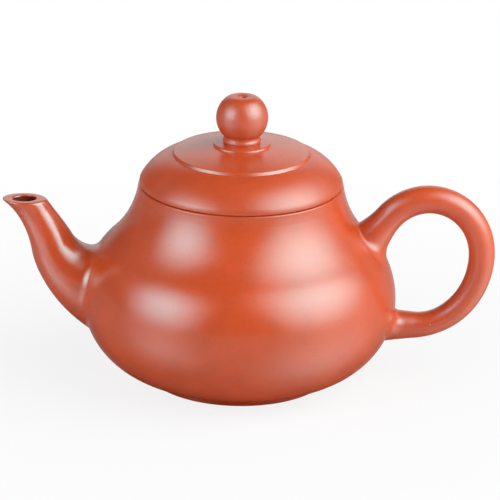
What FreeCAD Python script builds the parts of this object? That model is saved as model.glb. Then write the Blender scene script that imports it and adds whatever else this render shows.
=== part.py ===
"""A yixing clay teapot: pot, spout, ear handle and a loose lid with a ball knob.

Millimetres, +Z up. The origin is on the pot's axis, at the plane that the foot stands on.
The spout points along -X and the handle along +X.
"""
import FreeCAD, Part
import Sketcher
import collections
import math
import os

doc = FreeCAD.newDocument("Teapot")

# Driving sizes, in millimetres and degrees
SIZES = {
    # Pot wall and foot
    "belly_radius": 44.7,
    "belly_height": 23.5,
    "toe_radius": 27.1,
    "neck_radius": 29.0,
    "mouth_height": 57.6,
    "bend_height": 42.5,
    "wall_thickness": 2.8,
    "toe_ledge": 2.6,
    "base_thickness": 2.8,
    "foot_setback": 0.9,
    "foot_height": 2.2,
    "foot_band": 3.6,
    "foot_round": 0.6,
    # Mouth ring, where the lid sits
    "rim_width": 4.7,
    "ring_height": 3.0,
    "ring_bevel": 1.4,
    "rim_round": 0.4,
    # Lid
    "lid_setback": 0.3,
    "lid_edge": 1.2,
    "lid_edge_round": 0.5,
    "lid_thickness": 2.8,
    "dome_rise": 8.6,
    "dome_arc": 14.7,
    "lid_clearance": 0.3,
    "flange_depth": 9.5,
    "flange_thickness": 2.4,
    "flange_round": 0.8,
    "disc_radius": 19.5,
    "disc_edge": 0.9,
    "disc_round": 0.5,
    "disc_rise": 1.9,
    "disc_arc": 75.0,
    # Knob
    "collar_radius": 8.1,
    "collar_height": 0.9,
    "collar_round": 0.5,
    "knob_neck_radius": 5.3,
    "bead_foot": 0.5,
    "bead_height": 1.1,
    "bead_arc": 0.65,
    "knob_neck_rise": 0.5,
    "ball_radius": 7.35,
    "crown_radius": 5.2,
    "crown_climb": 0.8,
    "vent_radius": 0.95,
    "vent_dimple_radius": 1.7,
    "vent_dimple_depth": 0.8,
    "vent_funnel_radius": 2.2,
    # Spout: the centre line is two arcs that meet at the bend, which is placed from the belly
    "spout_bend_offset": 8.6,
    "spout_bend_rise": 14.9,
    "spout_bend_angle": 69.0,
    "spout_root_arc": 18.8,
    "spout_lip_arc": 46.0,
    "spout_mouth_drop": 5.6,
    "spout_tip_radius": 4.4,
    "spout_root_radius": 10.6,
    "spout_flare": 2.6,
    "spout_cover": 0.5,
    "spout_bore_tip_radius": 2.4,
    "spout_bore_root_radius": 6.9,
    # Strainer dome inside the spout's root
    "strainer_radius": 9.4,
    "strainer_thickness": 1.7,
    "strainer_hole_radius": 1.1,
    # Handle: the centre line is an ellipse above its widest point and another below it, and it is
    # placed from belly and mouth
    "handle_offset": 24.2,
    "handle_mid_drop": 20.5,
    "handle_crown_offset": 8.9,
    "handle_crown_drop": 4.0,
    "handle_heel_offset": 5.3,
    "handle_heel_drop": 8.0,
    "handle_leave_angle": 139.0,
    "handle_top_root": 14.0,
    "handle_heel_root": 13.0,
    "handle_top_radius": 4.1,
    "handle_heel_radius": 3.4,
    "handle_top_flare": 1.8,
    "handle_heel_flare": 1.0,
}

# Sizes worked out from the driving ones, in the order in which they depend on each other
WORKED_OUT = {
    "floor_height": "Sizes.foot_height + Sizes.base_thickness",
    "base_radius": "Sizes.toe_radius - Sizes.toe_ledge",
    "foot_radius": "Sizes.toe_radius - Sizes.foot_setback",
    "mouth_radius": "Sizes.neck_radius - Sizes.rim_width",
    "lid_radius": "Sizes.neck_radius - Sizes.lid_setback",
    "inner_belly": "Sizes.belly_radius - Sizes.wall_thickness",
    # Below the belly each face of the wall is one arc, upright at the belly
    "lower_reach": "Sizes.belly_radius - Sizes.toe_radius",
    "lower_drop": "Sizes.belly_height - Sizes.foot_height",
    "lower_arc": "(lower_reach ^ 2 + lower_drop ^ 2) / (2 * lower_reach)",
    "inner_reach": "inner_belly - Sizes.toe_radius",
    "inner_drop": "Sizes.belly_height - floor_height",
    "inner_lower_arc": "(inner_reach ^ 2 + inner_drop ^ 2) / (2 * inner_reach)",
    # Above it the wall is an S of two arcs, upright at the belly and at the mouth
    "sway": "(Sizes.belly_radius - Sizes.neck_radius) / (Sizes.mouth_height - Sizes.belly_height)",
    "sway_sin": "2 * sway / (1 + sway ^ 2)",
    "sway_cos": "(1 - sway ^ 2) / (1 + sway ^ 2)",
    "shoulder_arc": "(Sizes.bend_height - Sizes.belly_height) / sway_sin",
    "neck_arc": "(Sizes.mouth_height - Sizes.bend_height) / sway_sin",
    "shoulder_centre": "Sizes.belly_radius - shoulder_arc",
    "bend_radius": "shoulder_centre + shoulder_arc * sway_cos",
    "inner_shoulder_arc": "shoulder_arc - Sizes.wall_thickness",
    "inner_bend_radius": "shoulder_centre + inner_shoulder_arc * sway_cos",
    "inner_bend_height": "Sizes.belly_height + inner_shoulder_arc * sway_sin",
    "inner_neck_arc": "neck_arc + Sizes.wall_thickness",
    "neck_centre": "Sizes.neck_radius + neck_arc",
    # The mouth ring stands on the wall and carries the neck's arc on
    "ring_foot": "Sizes.mouth_height - Sizes.ring_height",
    "neck_joint": "neck_centre - sqrt(neck_arc ^ 2 - Sizes.ring_height ^ 2)",
    "inner_neck_joint": "neck_centre - sqrt(inner_neck_arc ^ 2 - Sizes.ring_height ^ 2)",
    "rim_radius": "neck_centre - sqrt(neck_arc ^ 2 - Sizes.rim_round ^ 2)",
    # The lid stacks up from the mouth
    "flange_radius": "mouth_radius - Sizes.lid_clearance",
    "flange_bore": "flange_radius - Sizes.flange_thickness",
    "flange_foot": "Sizes.mouth_height - Sizes.flange_depth",
    "disc_foot": "Sizes.mouth_height + Sizes.dome_rise",
    "hollow_rise": "Sizes.dome_rise - Sizes.lid_thickness",
    "hollow_height": "Sizes.mouth_height + hollow_rise",
    "collar_foot": "disc_foot + Sizes.disc_edge + Sizes.disc_rise",
    "knob_foot": "collar_foot + Sizes.collar_height",
    "ball_foot": "knob_foot + Sizes.bead_foot + Sizes.bead_height + Sizes.knob_neck_rise",
    "ball_centre": "ball_foot + sqrt(Sizes.ball_radius ^ 2 - Sizes.knob_neck_radius ^ 2)",
    # Near its top the ball turns into a tighter arc that runs over to the vent's dimple
    "crown_rise": "sqrt(Sizes.ball_radius ^ 2 - Sizes.crown_radius ^ 2)",
    "crown_run": "Sizes.crown_radius - Sizes.vent_dimple_radius",
    "crown_arc": "Sizes.ball_radius * (crown_run ^ 2 + Sizes.crown_climb ^ 2)"
                 " / (2 * (crown_run * Sizes.crown_radius - Sizes.crown_climb * crown_rise))",
    "knob_top": "ball_centre + crown_rise + Sizes.crown_climb",
    # The spout stands off the belly, with its mouth a little below the pot's
    "spout_bend_reach": "Sizes.belly_radius + Sizes.spout_bend_offset",
    "spout_bend_height": "Sizes.belly_height + Sizes.spout_bend_rise",
    "spout_mouth_height": "Sizes.mouth_height - Sizes.spout_mouth_drop",
    # Its centre line crosses the inside of the belly here
    "entry_sin": "sin(Sizes.spout_bend_angle)"
                 " - (spout_bend_reach - inner_belly) / Sizes.spout_root_arc",
    "entry_cos": "sqrt(1 - entry_sin ^ 2)",
    "entry_height": "spout_bend_height"
                    " + Sizes.spout_root_arc * (cos(Sizes.spout_bend_angle) - entry_cos)",
    "mouth_cos": "cos(Sizes.spout_bend_angle)"
                 " + (spout_mouth_height - spout_bend_height) / Sizes.spout_lip_arc",
    # The strainer's middle is on the inside of the wall at that height, and it faces as the wall does
    "strainer_rise": "entry_height - Sizes.belly_height",
    "strainer_reach": "shoulder_centre + sqrt(inner_shoulder_arc ^ 2 - strainer_rise ^ 2)",
    "strainer_lean": "asin(strainer_rise / inner_shoulder_arc)",
    # The handle's ellipses meet at its widest point
    "handle_reach": "Sizes.belly_radius + Sizes.handle_offset",
    "handle_mid_height": "Sizes.mouth_height - Sizes.handle_mid_drop",
    "handle_crown_reach": "Sizes.belly_radius + Sizes.handle_crown_offset",
    "handle_crown_height": "Sizes.mouth_height - Sizes.handle_crown_drop",
    "handle_heel_reach": "Sizes.belly_radius + Sizes.handle_heel_offset",
    "handle_heel_height": "Sizes.belly_height - Sizes.handle_heel_drop",
}


def fill_sheet(name, cells, as_formulas):
    """A sheet with one named cell per row."""
    sheet = doc.addObject("Spreadsheet::Sheet", name)
    for row, (alias, content) in enumerate(cells.items(), start=1):
        cell = f"A{row}"
        sheet.set(cell, f"={content}" if as_formulas else str(content))
        sheet.setAlias(cell, alias)
    doc.recompute()
    return sheet


sizes = fill_sheet("Sizes", SIZES, as_formulas=False)
form = fill_sheet("Form", WORKED_OUT, as_formulas=True)


def cell_text(name):
    """How an expression names a size."""
    sheet = "Sizes" if name in SIZES else "Form"
    return f"{sheet}.{name}"


def size(name):
    """A size as a plain number."""
    sheet = sizes if name in SIZES else form
    return float(getattr(sheet, name))


def value(expression):
    """What an expression of the sheets' cells comes to."""
    return float(form.evalExpression(expression))


# How fast the spout widens from its mouth: 1 would be an even cone
SPOUT_GROWTH_POWER = 1.65

# A corner of a half outline. The way to the next corner is straight, or an arc, which is hollow
# where it bends into the solid. Outlines run with the solid on their left.
Corner = collections.namedtuple("Corner", "radius height arc hollow")


def corner(radius, height, arc=None, hollow=False):
    return Corner(radius, height, arc, hollow)


def named(expression):
    """An expression with each size in it named in full."""
    words = expression.split()
    return " ".join(cell_text(w) if w in SIZES or w in WORKED_OUT else w for w in words)


def arc_between(start, end, radius, hollow):
    """The arc from start to end with its centre on the left, or on the right where it is hollow."""
    chord = end - start
    half = chord.Length / 2
    left = FreeCAD.Vector(-chord.y, chord.x, 0).normalize()
    offset = math.sqrt(radius ** 2 - half ** 2)
    centre = start + chord / 2 + left * (-offset if hollow else offset)
    circle = Part.Circle(centre, FreeCAD.Vector(0, 0, 1), radius)
    first, last = (end, start) if hollow else (start, end)
    angles = [math.atan2(p.y - centre.y, p.x - centre.x) for p in (first, last)]
    if angles[1] < angles[0]:
        angles[1] += 2 * math.pi
    return Part.ArcOfCircle(circle, angles[0], angles[1])


def outline_sketch(body, name, outline):
    """A sketch of a half outline, with the axis as its own vertical axis."""
    plane = next(f for f in body.Origin.OriginFeatures if f.Role == "XZ_Plane")
    sketch = body.newObject("Sketcher::SketchObject", name)
    sketch.AttachmentSupport = [(plane, "")]
    sketch.MapMode = "FlatFace"
    points = [FreeCAD.Vector(value(named(c.radius)), value(named(c.height)), 0) for c in outline]
    start_point, end_point, origin, across, upright = 1, 2, -1, -1, -2
    ends = []
    for index, place in enumerate(outline):
        first, last = points[index], points[(index + 1) % len(points)]
        if place.arc:
            edge = arc_between(first, last, value(named(place.arc)), place.hollow)
        else:
            edge = Part.LineSegment(first, last)
        geometry = sketch.addGeometry(edge, False)
        ends.append((geometry, end_point if place.hollow else start_point,
                     start_point if place.hollow else end_point))
    for index, place in enumerate(outline):
        geometry, here, _ = ends[index]
        before, _, there = ends[index - 1]
        sketch.addConstraint(Sketcher.Constraint("Coincident", before, there, geometry, here))
        for kind, text, axis in (("DistanceX", place.radius, upright),
                                 ("DistanceY", place.height, across)):
            if text == "0":
                sketch.addConstraint(Sketcher.Constraint("PointOnObject", geometry, here, axis))
                continue
            made = sketch.addConstraint(
                Sketcher.Constraint(kind, origin, start_point, geometry, here, value(named(text))))
            sketch.setExpression(f"Constraints[{made}]", named(text))
        if place.arc:
            radius = value(named(place.arc))
            made = sketch.addConstraint(Sketcher.Constraint("Radius", geometry, radius))
            sketch.setExpression(f"Constraints[{made}]", named(place.arc))
    return sketch


def turned(label, outline):
    """A piece turned about the pot's axis."""
    body = doc.addObject("PartDesign::Body", label)
    sketch = outline_sketch(body, f"{label}_outline", outline)
    turn = body.newObject("PartDesign::Revolution", f"{label}_turn")
    turn.Profile = sketch
    turn.ReferenceAxis = (sketch, ["V_Axis"])
    turn.Angle = 360
    return body


def cut(label, base, tool):
    """What is left of one object where another is taken away."""
    piece = doc.addObject("Part::Cut", label)
    piece.Base = base
    piece.Tool = tool
    return piece


# A station of a tube: where its ring is, which way the tube runs there and how wide it is
Station = collections.namedtuple("Station", "x z run_x run_z radius")


def tube(label, stations):
    """A solid through round rings that stand square to a centre line in the pot's middle plane."""
    rings = []
    for index, station in enumerate(stations):
        ring = doc.addObject("Part::Circle", f"{label}_ring_{index}")
        lean = math.degrees(math.atan2(station.run_x, station.run_z))
        ring.Placement = FreeCAD.Placement(
            FreeCAD.Vector(0, 0, 0), FreeCAD.Rotation(FreeCAD.Vector(0, 1, 0), lean))
        ring.setExpression("Placement.Base.x", station.x)
        ring.setExpression("Placement.Base.z", station.z)
        ring.setExpression("Radius", station.radius)
        rings.append(ring)
    loft = doc.addObject("Part::Loft", label)
    loft.Sections = rings
    loft.Solid = True
    loft.Ruled = False
    return loft


# The pot: wall, floor, foot and mouth ring

OUTER_WALL = [
    corner("toe_radius", "foot_height", arc="lower_arc"),
    corner("belly_radius", "belly_height", arc="shoulder_arc"),
    corner("bend_radius", "bend_height", arc="neck_arc", hollow=True),
]


def make_pot_form():
    """The pot's outside as one full solid, which trims what is luted on to it."""
    return turned("pot_form", [corner("0", "foot_height")] + OUTER_WALL + [
        corner("neck_joint", "ring_foot"),
        corner("0", "ring_foot"),
    ])


def make_pot_hollow():
    """The room inside the wall as a solid, which trims the strainer."""
    return turned("pot_hollow", [
        corner("0", "floor_height"),
        corner("toe_radius", "floor_height", arc="inner_lower_arc"),
        corner("inner_belly", "belly_height", arc="inner_shoulder_arc"),
        corner("inner_bend_radius", "inner_bend_height", arc="inner_neck_arc", hollow=True),
        corner("inner_neck_joint", "ring_foot"),
        corner("0", "ring_foot"),
    ])


def make_wall():
    """The wall before the spout's opening is cut, with a toe turned in under the floor."""
    return turned("wall_blank", [corner("base_radius", "foot_height")] + OUTER_WALL + [
        corner("neck_joint", "ring_foot"),
        corner("inner_neck_joint", "ring_foot", arc="inner_neck_arc"),
        corner("inner_bend_radius", "inner_bend_height", arc="inner_shoulder_arc", hollow=True),
        corner("inner_belly", "belly_height", arc="inner_lower_arc", hollow=True),
        corner("toe_radius", "floor_height"),
        corner("base_radius", "floor_height"),
    ])


def make_base_disc():
    """The floor slab inside the wall's toe."""
    return turned("base_disc", [
        corner("0", "foot_height"),
        corner("base_radius", "foot_height"),
        corner("base_radius", "floor_height"),
        corner("0", "floor_height"),
    ])


def make_foot_ring():
    """The low ring that the pot stands on."""
    return turned("foot_ring", [
        corner("foot_radius - foot_band + foot_round", "0"),
        corner("foot_radius - foot_round", "0", arc="foot_round"),
        corner("foot_radius", "foot_round"),
        corner("foot_radius", "foot_height"),
        corner("foot_radius - foot_band", "foot_height"),
        corner("foot_radius - foot_band", "foot_round", arc="foot_round"),
    ])


def make_mouth_ring():
    """The ring on the neck whose flat top the lid sits on."""
    return turned("mouth_ring", [
        corner("inner_neck_joint", "ring_foot"),
        corner("neck_joint", "ring_foot", arc="neck_arc", hollow=True),
        corner("rim_radius", "mouth_height - rim_round", arc="rim_round"),
        corner("rim_radius - rim_round", "mouth_height"),
        corner("mouth_radius + rim_round", "mouth_height", arc="rim_round"),
        corner("mouth_radius", "mouth_height - rim_round"),
        corner("mouth_radius", "ring_foot + ring_bevel"),
    ])


# The lid: flange, dome, raised disc, collar and knob

def make_lid_flange():
    """The skirt under the lid, which drops into the mouth."""
    return turned("lid_flange", [
        corner("flange_bore", "flange_foot"),
        corner("flange_radius - flange_round", "flange_foot", arc="flange_round"),
        corner("flange_radius", "flange_foot + flange_round"),
        corner("flange_radius", "mouth_height"),
        corner("flange_bore", "mouth_height"),
    ])


def make_lid_dome():
    """The domed plate, hollow below, with a flat for the disc and a funnel for the vent."""
    return turned("lid_dome", [
        corner("flange_bore", "mouth_height"),
        corner("lid_radius - lid_edge_round", "mouth_height", arc="lid_edge_round"),
        corner("lid_radius", "mouth_height + lid_edge_round"),
        corner("lid_radius", "mouth_height + lid_edge", arc="dome_arc"),
        corner("disc_radius", "disc_foot"),
        corner("vent_radius", "disc_foot"),
        corner("vent_funnel_radius", "hollow_height"),
        corner("flange_bore - hollow_rise", "hollow_height", arc="hollow_rise", hollow=True),
    ])


def make_lid_disc():
    """The low raised disc with its rounded edge, gently crowned up to the collar."""
    return turned("lid_disc", [
        corner("vent_radius", "disc_foot"),
        corner("disc_radius", "disc_foot"),
        corner("disc_radius", "disc_foot + disc_edge - disc_round", arc="disc_round"),
        corner("disc_radius - disc_round", "disc_foot + disc_edge", arc="disc_arc"),
        corner("collar_radius", "collar_foot"),
        corner("vent_radius", "collar_foot"),
    ])


def make_knob_collar():
    """The thin round plate between the disc and the knob."""
    return turned("knob_collar", [
        corner("vent_radius", "collar_foot"),
        corner("collar_radius", "collar_foot"),
        corner("collar_radius", "knob_foot - collar_round", arc="collar_round"),
        corner("collar_radius - collar_round", "knob_foot"),
        corner("vent_radius", "knob_foot"),
    ])


def make_knob():
    """The ball on its beaded neck, flattened on top around the vent."""
    return turned("knob", [
        corner("vent_radius", "knob_foot"),
        corner("knob_neck_radius", "knob_foot"),
        corner("knob_neck_radius", "knob_foot + bead_foot", arc="bead_arc"),
        corner("knob_neck_radius", "knob_foot + bead_foot + bead_height"),
        corner("knob_neck_radius", "ball_foot", arc="ball_radius"),
        corner("crown_radius", "ball_centre + crown_rise", arc="crown_arc"),
        corner("vent_dimple_radius", "knob_top"),
        corner("vent_radius", "knob_top - vent_dimple_depth"),
    ])


# The spout and its strainer

def depth_in_pot(reach, height):
    """How far inside the face of the wall a place is."""
    if height < size("belly_height"):
        centre = size("belly_radius") - size("lower_arc")
        return size("lower_arc") - math.hypot(reach - centre, height - size("belly_height"))
    if height < size("bend_height"):
        return size("shoulder_arc") - math.hypot(
            reach - size("shoulder_centre"), height - size("belly_height"))
    return math.hypot(
        size("neck_centre") - reach, size("mouth_height") - height) - size("neck_arc")


def room_in_pot(x, z, run_x, run_z, sweep, cover):
    """How wide a ring can be with the wall over it, from its top round to an angle."""
    step, width = 0.05, 0
    turns = [math.radians(turn) for turn in range(0, sweep + 1, 15)]
    while width < size("belly_radius"):
        for turn in turns:
            up, aside = width * math.cos(turn), width * math.sin(turn)
            if depth_in_pot(math.hypot(x + up * run_z, aside), z - up * run_x) < cover:
                return width
        width += step
    return width


def spout_stations(tip_text, root_text, flare_text):
    """Stations from inside the pot to past the level mouth, with the width growing to the root."""
    bend = size("spout_bend_angle")
    entry = math.degrees(math.asin(size("entry_sin")))
    mouth = math.degrees(math.acos(size("mouth_cos")))
    root_length = size("spout_root_arc") * math.radians(bend - entry)
    lip_length = size("spout_lip_arc") * math.radians(bend - mouth)
    reach, height = cell_text("spout_bend_reach"), cell_text("spout_bend_height")
    root_arc, lip_arc = cell_text("spout_root_arc"), cell_text("spout_lip_arc")
    bend_text = cell_text("spout_bend_angle")

    def width(length_from_mouth, flare):
        share = max(length_from_mouth, 0) / (root_length + lip_length)
        straight = f"{tip_text} + {share ** SPOUT_GROWTH_POWER:.4f} * ({root_text} - {tip_text})"
        return f"{straight} + {flare} * {flare_text}"

    stations = []
    # Along the root's arc: how far each ring is from the wall's inside to the bend, and its flare.
    # The wall covers the whole of the first ring, and the upper half of the next two, ever less
    for share, flare in ((-0.3, 1.35), (-0.16, 1.05), (-0.03, 0.7), (0.1, 0.4), (0.24, 0.16),
                         (0.4, 0.04), (0.6, 0), (0.8, 0), (1, 0)):
        angle = entry + share * (bend - entry)
        x = f"-{reach} + {root_arc} * (sin({bend_text}) - sin({angle:.3f}))"
        z = f"{height} + {root_arc} * (cos({bend_text}) - cos({angle:.3f}))"
        wide = width(lip_length + root_length * (1 - share), flare)
        run = math.cos(math.radians(angle)), math.sin(math.radians(angle))
        if share < 0:
            sweep = 90 if stations else 180
            cover = size("spout_cover") * (3 - len(stations))
            room = room_in_pot(value(x), value(z), -run[0], run[1], sweep, cover)
            wide = min(wide, f"{room:.2f}", key=value)
        stations.append(Station(x, z, -run[0], run[1], wide))
    # Along the lip's arc: how far each ring is from the bend to the mouth, and past it
    for share in (0.25, 0.5, 0.75, 1, 1.3):
        angle = bend + share * (mouth - bend)
        x = f"-{reach} + {lip_arc} * (sin({angle:.3f}) - sin({bend_text}))"
        z = f"{height} + {lip_arc} * (cos({angle:.3f}) - cos({bend_text}))"
        run = math.cos(math.radians(angle)), math.sin(math.radians(angle))
        stations.append(Station(x, z, -run[0], run[1], width(lip_length * (1 - share), 0)))
    return stations


def make_spout(pot_form, bore):
    """The spout, cut level at its mouth and fitted to the outside of the wall."""
    outside = tube("spout_outside", spout_stations(
        cell_text("spout_tip_radius"), cell_text("spout_root_radius"), cell_text("spout_flare")))
    above = doc.addObject("Part::Box", "above_spout")
    for side in ("Length", "Width", "Height"):
        above.setExpression(side, f"{cell_text('belly_radius')} * 2")
    above.setExpression(
        "Placement.Base.x", f"-{cell_text('spout_bend_reach')} - {cell_text('belly_radius')}")
    above.setExpression("Placement.Base.y", f"-{cell_text('belly_radius')}")
    above.setExpression("Placement.Base.z", cell_text("spout_mouth_height"))
    level = cut("spout_level", outside, above)
    fitted = cut("spout_fitted", level, pot_form)
    return cut("spout", fitted, bore)


def make_strainer(pot_hollow):
    """A dome on the inside of the wall over the spout's opening, pierced in rings of holes."""
    radius, thickness = cell_text("strainer_radius"), cell_text("strainer_thickness")

    def place(item, away="0", way=FreeCAD.Vector()):
        """Puts an item at the dome's centre, or some way out of it."""
        item.setExpression(
            "Placement.Base.x", f"-{cell_text('strainer_reach')} + {way.x:.5f} * {away}")
        item.setExpression("Placement.Base.y", f"{way.y:.5f} * {away}")
        item.setExpression("Placement.Base.z", f"{cell_text('entry_height')} + {way.z:.5f} * {away}")

    inward = FreeCAD.Rotation(FreeCAD.Vector(0, 1, 0), 90 + size("strainer_lean"))
    outside = doc.addObject("Part::Sphere", "strainer_outside")
    outside.setExpression("Radius", radius)
    inside = doc.addObject("Part::Sphere", "strainer_inside")
    inside.setExpression("Radius", f"{radius} - {thickness}")
    for ball in (outside, inside):
        ball.Placement = FreeCAD.Placement(FreeCAD.Vector(), inward)
        place(ball)
    shell = cut("strainer_shell", outside, inside)
    dome = doc.addObject("Part::Common", "strainer_dome")
    dome.Base = shell
    dome.Tool = pot_hollow
    # Each ring of holes: how many, and how far they lean away from the dome's middle
    holes = []
    for count, lean in ((1, 0), (6, 31), (12, 58)):
        for index in range(count):
            around = FreeCAD.Rotation(FreeCAD.Vector(0, 0, 1), 360 * index / count)
            tilt = FreeCAD.Rotation(FreeCAD.Vector(0, 1, 0), -lean)
            turn = inward * around * tilt
            hole = doc.addObject("Part::Cylinder", f"strainer_hole_{lean}_{index}")
            hole.setExpression("Radius", cell_text("strainer_hole_radius"))
            hole.setExpression("Height", f"{thickness} * 3")
            hole.Placement = FreeCAD.Placement(FreeCAD.Vector(), turn)
            place(hole, f"({radius} - {thickness} * 2)", turn.multVec(FreeCAD.Vector(0, 0, 1)))
            holes.append(hole)
    drills = doc.addObject("Part::MultiFuse", "strainer_drills")
    drills.Shapes = holes
    return cut("spout_strainer", dome, drills)


# The handle

def handle_stations():
    """Stations from inside the shoulder, over the crown and round the heel into the belly."""
    reach, mid = size("handle_reach"), size("handle_mid_height")
    crown_x, crown_z = size("handle_crown_reach"), size("handle_crown_height")
    heel_x, heel_z = size("handle_heel_reach"), size("handle_heel_height")
    reach_text, mid_text = cell_text("handle_reach"), cell_text("handle_mid_height")
    top, heel = cell_text("handle_top_radius"), cell_text("handle_heel_radius")
    stations = []

    def taper(share, flare="0"):
        return f"{top} + {share:.3f} * ({heel} - {top}) + {flare}"

    leave = size("handle_leave_angle")
    crown, heel_end = 90, -90

    def run_down(turn):
        """How far down the handle a place on its ellipses is, from 0 to 1."""
        return (leave - turn) / (leave - heel_end)

    def on_ellipse(side, turn):
        """A place on the upper or lower ellipse, and the way that the handle runs there."""
        start = cell_text(f"handle_{side}_reach")
        end = cell_text(f"handle_{side}_height")
        across, tall = (reach - crown_x, crown_z - mid) if side == "crown" else \
            (reach - heel_x, mid - heel_z)
        rise = f"({end} - {mid_text})" if side == "crown" else f"({mid_text} - {end})"
        x = f"{start} + ({reach_text} - {start}) * cos({turn})"
        z = f"{mid_text} + {rise} * sin({turn})"
        bend = math.radians(turn)
        return x, z, across * math.sin(bend), -tall * math.cos(bend)

    # The upper root runs straight on from the crown's ellipse into the wall, and flares
    x, z, run_x, run_z = on_ellipse("crown", leave)
    length = math.hypot(run_x, run_z)
    root = cell_text("handle_top_root")
    for share, flare in ((1, 2.3), (0.79, 1.9), (0.61, 1.35), (0.43, 0.7), (0.25, 0.2)):
        stations.append(Station(
            f"{x} - {share * run_x / length:.5f} * {root}",
            f"{z} - {share * run_z / length:.5f} * {root}",
            run_x, run_z, taper(0, f"{flare} * {cell_text('handle_top_flare')}")))
    rise = [leave + (crown - leave) * share for share in (0, 0.35, 0.67)]
    for turn in rise + [crown, 72, 54, 36, 18, 0]:
        stations.append(Station(*on_ellipse("crown", turn), taper(run_down(turn))))
    for turn in (-18, -36, -54, -72, heel_end):
        stations.append(Station(*on_ellipse("heel", turn), taper(run_down(turn))))
    # The lower root runs level into the belly, and flares less
    root = cell_text("handle_heel_root")
    for share, flare in ((0.12, 0.02), (0.23, 0.12), (0.38, 0.45), (0.54, 1), (0.77, 2), (1, 2.6)):
        stations.append(Station(
            f"{cell_text('handle_heel_reach')} - {share} * {root}",
            cell_text("handle_heel_height"), -1, 0,
            taper(1, f"{flare} * {cell_text('handle_heel_flare')}")))
    return stations


def make_handle(pot_form):
    """The solid ear handle, fitted to the outside of the wall at both roots."""
    return cut("handle", tube("handle_tube", handle_stations()), pot_form)


pot_form = make_pot_form()
pot_hollow = make_pot_hollow()
bore = tube("spout_bore", spout_stations(
    cell_text("spout_bore_tip_radius"), cell_text("spout_bore_root_radius"), "0"))
pieces = [
    cut("body_wall", make_wall(), bore),
    make_base_disc(),
    make_foot_ring(),
    make_mouth_ring(),
    make_spout(pot_form, bore),
    make_strainer(pot_hollow),
    make_handle(pot_form),
    make_lid_flange(),
    make_lid_dome(),
    make_lid_disc(),
    make_knob_collar(),
    make_knob(),
]
doc.recompute()

for item in doc.Objects:
    if "Invalid" in item.State or "Error" in item.State:
        raise RuntimeError(f"{item.Label} could not be worked out: {item.State}")
for piece in pieces:
    shape = piece.Shape
    if shape.isNull() or not shape.isValid() or len(shape.Solids) != 1:
        raise RuntimeError(f"{piece.Label} is not one sound solid")

os.makedirs("parts", exist_ok=True)
for piece in pieces:
    piece.Shape.exportStep(f"parts/{piece.Label}.step")
    print(f"{piece.Label}: {piece.Shape.Volume / 1000:.2f} cm3")
room = pot_hollow.Shape.Volume / 1000
print(f"room inside up to the mouth ring: {room:.0f} cm3")
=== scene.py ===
"""A small yixing clay teapot, dressed on its packed solids, with a stage, lights and a camera.

Metres, +Z up. The spout points along -X and the handle along +X.
"""
import collections
import math

import bmesh
import bpy
from bpy.props import FloatProperty, FloatVectorProperty, IntProperty, PointerProperty
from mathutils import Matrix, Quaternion, Vector


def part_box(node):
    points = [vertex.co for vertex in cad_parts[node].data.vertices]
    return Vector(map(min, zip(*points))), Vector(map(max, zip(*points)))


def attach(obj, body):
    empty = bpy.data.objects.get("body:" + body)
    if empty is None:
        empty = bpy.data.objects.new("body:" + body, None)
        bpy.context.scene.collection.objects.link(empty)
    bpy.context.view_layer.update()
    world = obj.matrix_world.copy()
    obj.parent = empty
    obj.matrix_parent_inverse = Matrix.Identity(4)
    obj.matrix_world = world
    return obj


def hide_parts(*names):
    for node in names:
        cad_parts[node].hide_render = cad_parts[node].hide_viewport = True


bl_info = {
    "name": "Clay Teapot",
    "version": (1, 0, 0),
    "blender": (4, 5, 0),
    "location": "3D View > Sidebar > Teapot",
    "description": "Builds a small clay teapot with a loose lid on its packed solids",
    "category": "Object",
}

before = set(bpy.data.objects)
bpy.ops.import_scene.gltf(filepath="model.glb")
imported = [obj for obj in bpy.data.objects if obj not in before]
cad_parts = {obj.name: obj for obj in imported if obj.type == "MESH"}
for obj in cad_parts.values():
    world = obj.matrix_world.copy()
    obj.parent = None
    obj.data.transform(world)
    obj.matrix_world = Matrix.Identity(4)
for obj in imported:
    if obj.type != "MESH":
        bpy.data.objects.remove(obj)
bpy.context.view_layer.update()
MM = 0.001


def low(node):
    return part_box(node)[0]


def high(node):
    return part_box(node)[1]


def length(name, description, default):
    return FloatProperty(name=name, description=description, default=default, min=0.0,
                         precision=5, unit="LENGTH")


def angle(name, description, degrees):
    return FloatProperty(name=name, description=description, default=math.radians(degrees),
                         unit="ROTATION")


def share(name, description, default):
    return FloatProperty(name=name, description=description, default=default, min=0.0, max=1.0,
                         subtype="FACTOR")


def amount(name, description, default):
    return FloatProperty(name=name, description=description, default=default, min=0.0)


def colour(name, description, default):
    return FloatVectorProperty(name=name, description=description, default=default, size=3,
                               min=0.0, max=1.0, subtype="COLOR")


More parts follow.
